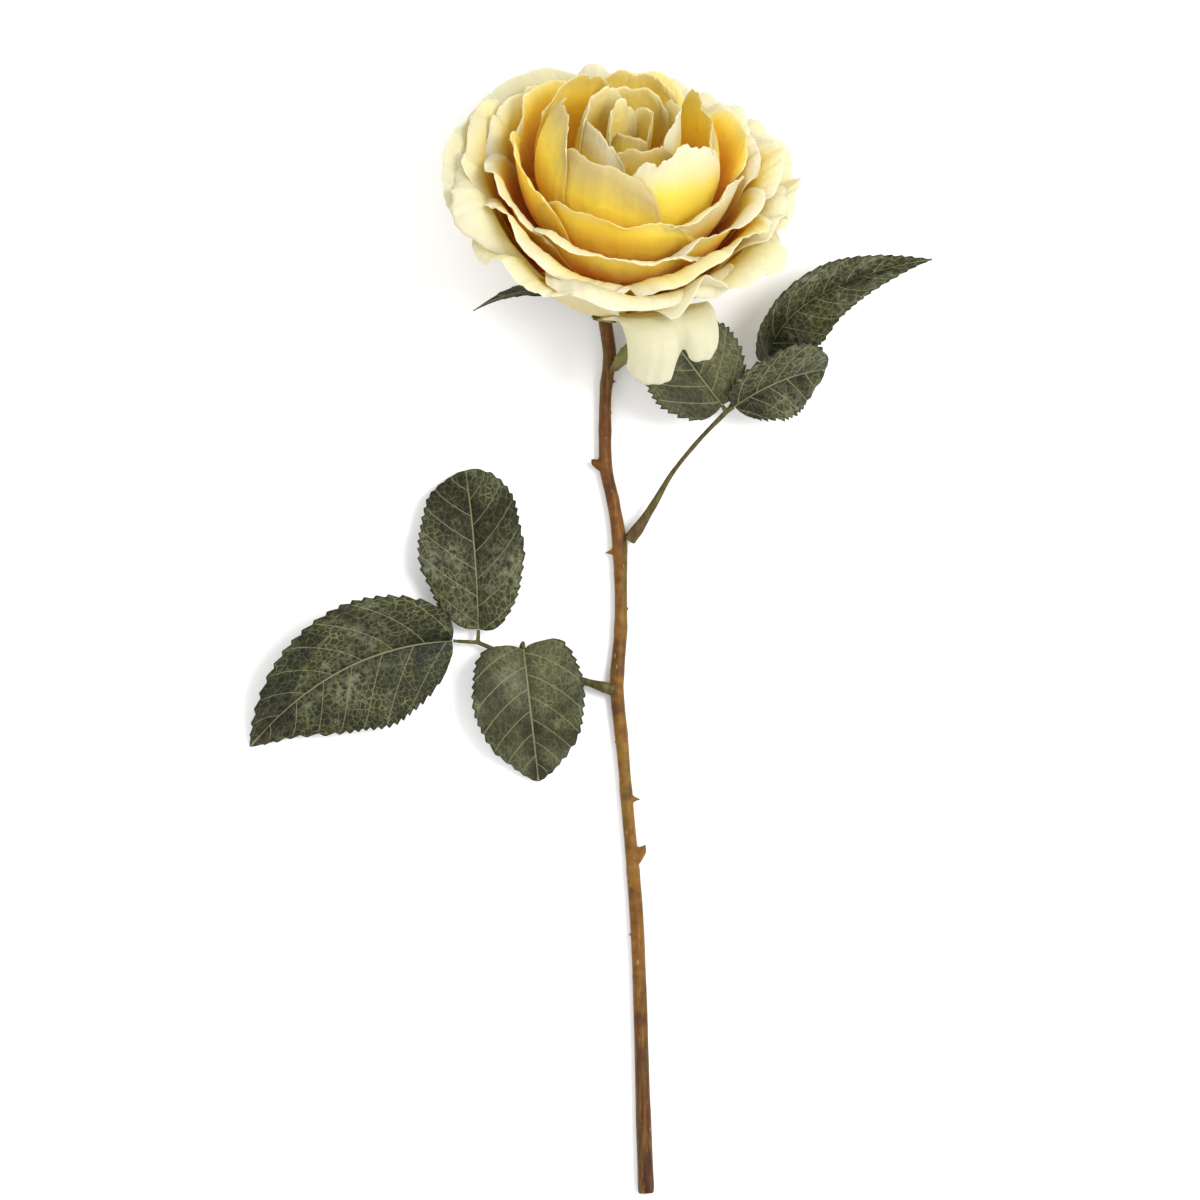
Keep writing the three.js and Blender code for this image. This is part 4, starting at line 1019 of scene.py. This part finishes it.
def stem_material():
    """Red-brown and streaked, lighter in the middle and dark at the cut end, with pale dots and mossy patches."""
    n = Nodes("stem")
    where, drawn_out = n.place(), n.place((1.0, 0.09, 1.0))
    base = n.ramp(
        n.spread(n.height(where), *STEM_ENDS),
        [(0.0, (0.035, 0.011, 0.004)), (0.10, (0.075, 0.027, 0.007)), (0.26, (0.165, 0.068, 0.010)),
         (0.52, (0.20, 0.094, 0.013)), (0.70, (0.18, 0.078, 0.012)), (0.78, (0.13, 0.045, 0.008)),
         (0.90, (0.105, 0.034, 0.007)), (1.0, (0.14, 0.052, 0.010))])
    streaks = n.noise(drawn_out, 900, 5, 0.65)
    base = n.mix(n.spread(streaks, 0.45, 0.7, 0.0, 0.6), base, (0.25, 0.130, 0.026))
    base = n.mix(n.patches(where, 110, 0.48, 0.66, 0.7, 3), base, (0.045, 0.015, 0.006))
    flecks = n.cells(n.place((1.0, 0.45, 1.0)), 380, "F1")
    dots = n.times(n.spread(flecks, 0.10, 0.17, 1.0, 0.0), n.patches(where, 240, 0.48, 0.56, detail=1))
    base = n.over(base, dots, 0.6, (0.34, 0.22, 0.12))
    base = n.over(base, n.patches(drawn_out, 160, 0.56, 0.66), 0.45, (0.085, 0.090, 0.020))
    base = n.mix(n.spread(n.noise(where, 520), 0.4, 0.6, 0.25, 0.0), base, (0.03, 0.012, 0.005))
    normal = n.bump(dots, 0.00012, 0.6, n.bump(streaks, 0.0002, 0.7))
    return n.surface(base, n.grain(where, 400, 0.3, 0.5, 3), normal, 0.12)


def stalk_material():
    """Dark olive, with red-brown patches."""
    n = Nodes("stalk")
    streaks = n.noise(n.place((1.0, 0.3, 1.0)), 700, 4, 0.6)
    base = n.ramp(streaks, [(0.3, (0.030, 0.026, 0.006)), (0.55, (0.080, 0.068, 0.016)), (0.8, (0.15, 0.13, 0.040))])
    base = n.mix(n.patches(n.place(), 90, 0.5, 0.7, 0.6), base, (0.070, 0.026, 0.009))
    return n.surface(base, n.spread(streaks, 0.3, 0.7, 0.4, 0.6), n.bump(streaks, 0.00015, 0.6), 0.2)


def calyx_material():
    """Green, turning to the stem's red-brown towards the neck."""
    n = Nodes("calyx")
    where = n.place()
    base = n.ramp(n.noise(where, 220, 4, 0.6), [(0.3, (0.09, 0.12, 0.03)), (0.7, (0.21, 0.23, 0.08))])
    neck = float(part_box("calyx")[0][1])
    brown = n.spread(n.height(where), neck + 0.012, neck + 0.026, 0.97, 0.0)
    base = n.mix(brown, base, (0.12, 0.048, 0.016))
    normal = n.bump(n.noise(where, 900, 4, 0.65), 0.0002, 0.6)
    return n.surface(base, n.grain(where, 300, 0.45, 0.65), normal, 0.4)


def stamen_material():
    n = Nodes("stamens")
    where = n.place()
    base = n.ramp(n.noise(where, 700), [(0.35, (0.30, 0.085, 0.012)), (0.65, (0.62, 0.27, 0.03))])
    normal = n.bump(n.noise(where, 2500, 2), 0.0001, 0.5)
    return n.surface(base, n.grain(where, 900, 0.6, 0.8), normal, 0.3, through=0.1)


def floor_material():
    n = Nodes("floor")
    where = n.place()
    colour = n.ramp(n.noise(where, 3), [(0.3, (0.93, 0.93, 0.93)), (0.7, (0.95, 0.95, 0.95))])
    return n.surface(colour, 0.75, n.bump(n.noise(where, 900, 2), 0.00003, 0.2), 0.2)


MATERIALS = {
    **{"petal_" + kind: petal_material(kind) for kind in TINTS},
    "leaf": leaf_material(),
    "bract": bract_material(),
    "stem": stem_material(),
    "stalk": stalk_material(),
    "calyx": calyx_material(),
    "stamens": stamen_material(),
}


def dress(piece, material, node):
    piece.data.materials.clear()
    piece.data.materials.append(material)
    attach(piece, "root")
    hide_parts(node)


# ---- Stage ----


def make_floor():
    corners = np.array([(-1, -1, 0), (1, -1, 0), (1, 1, 0), (-1, 1, 0)]) * FLOOR_HALF
    floor = make_object("floor", corners, [(0, 1, 2, 3)])
    floor.data.materials.append(floor_material())


def light_stage():
    """An even white sky with one soft key light high at the right."""
    world = bpy.data.worlds.new("studio")
    bpy.context.scene.world = world
    world.use_nodes = True
    background = world.node_tree.nodes["Background"]
    background.inputs[0].default_value = (1.0, 1.0, 1.0, 1)
    background.inputs[1].default_value = SKY
    data = bpy.data.lights.new("key", "AREA")
    data.shape, data.size, data.energy = "DISK", KEY_LIGHT["size"], KEY_LIGHT["power"]
    light = bpy.data.objects.new("key", data)
    light.location = KEY_LIGHT["at"]
    way = np.array(KEY_LIGHT["aim"]) - np.array(KEY_LIGHT["at"])
    light.rotation_euler = Vector(way).to_track_quat("-Z", "Y").to_euler()
    bpy.context.scene.collection.objects.link(light)


def place_camera():
    """A long lens straight above the rose, which lies as the photograph shows it."""
    camera = bpy.data.cameras.new("camera")
    camera.sensor_width = 36
    camera.lens = camera.sensor_width * CAMERA_TO_ROSE / PICTURE_WIDTH
    camera.clip_start, camera.clip_end = 0.1, 20
    obj = bpy.data.objects.new("camera", camera)
    obj.location = (*put(PICTURE_MIDDLE)[:2], CAMERA_HEIGHT)
    bpy.context.scene.collection.objects.link(obj)
    bpy.context.scene.camera = obj


for ring_name, ring in RINGS.items():
    for number in range(len(ring["petals"])):
        make_petal(f"petal_{ring_name}_{number + 1}", ring_name, number)
for number, (leaf_name, leaf) in enumerate(LEAVES.items()):
    make_leaf(leaf_name, {**USUAL_LEAF, **leaf}, number + 3)
make_calyx()
for number in range(SEPALS["count"]):
    make_sepal(number)
make_stamens()
make_stem()
for stalk_name, (main, twigs) in STALKS.items():
    make_stalk(stalk_name, main, twigs)

make_floor()
light_stage()
place_camera()
bpy.context.scene.view_settings.view_transform = "Standard"
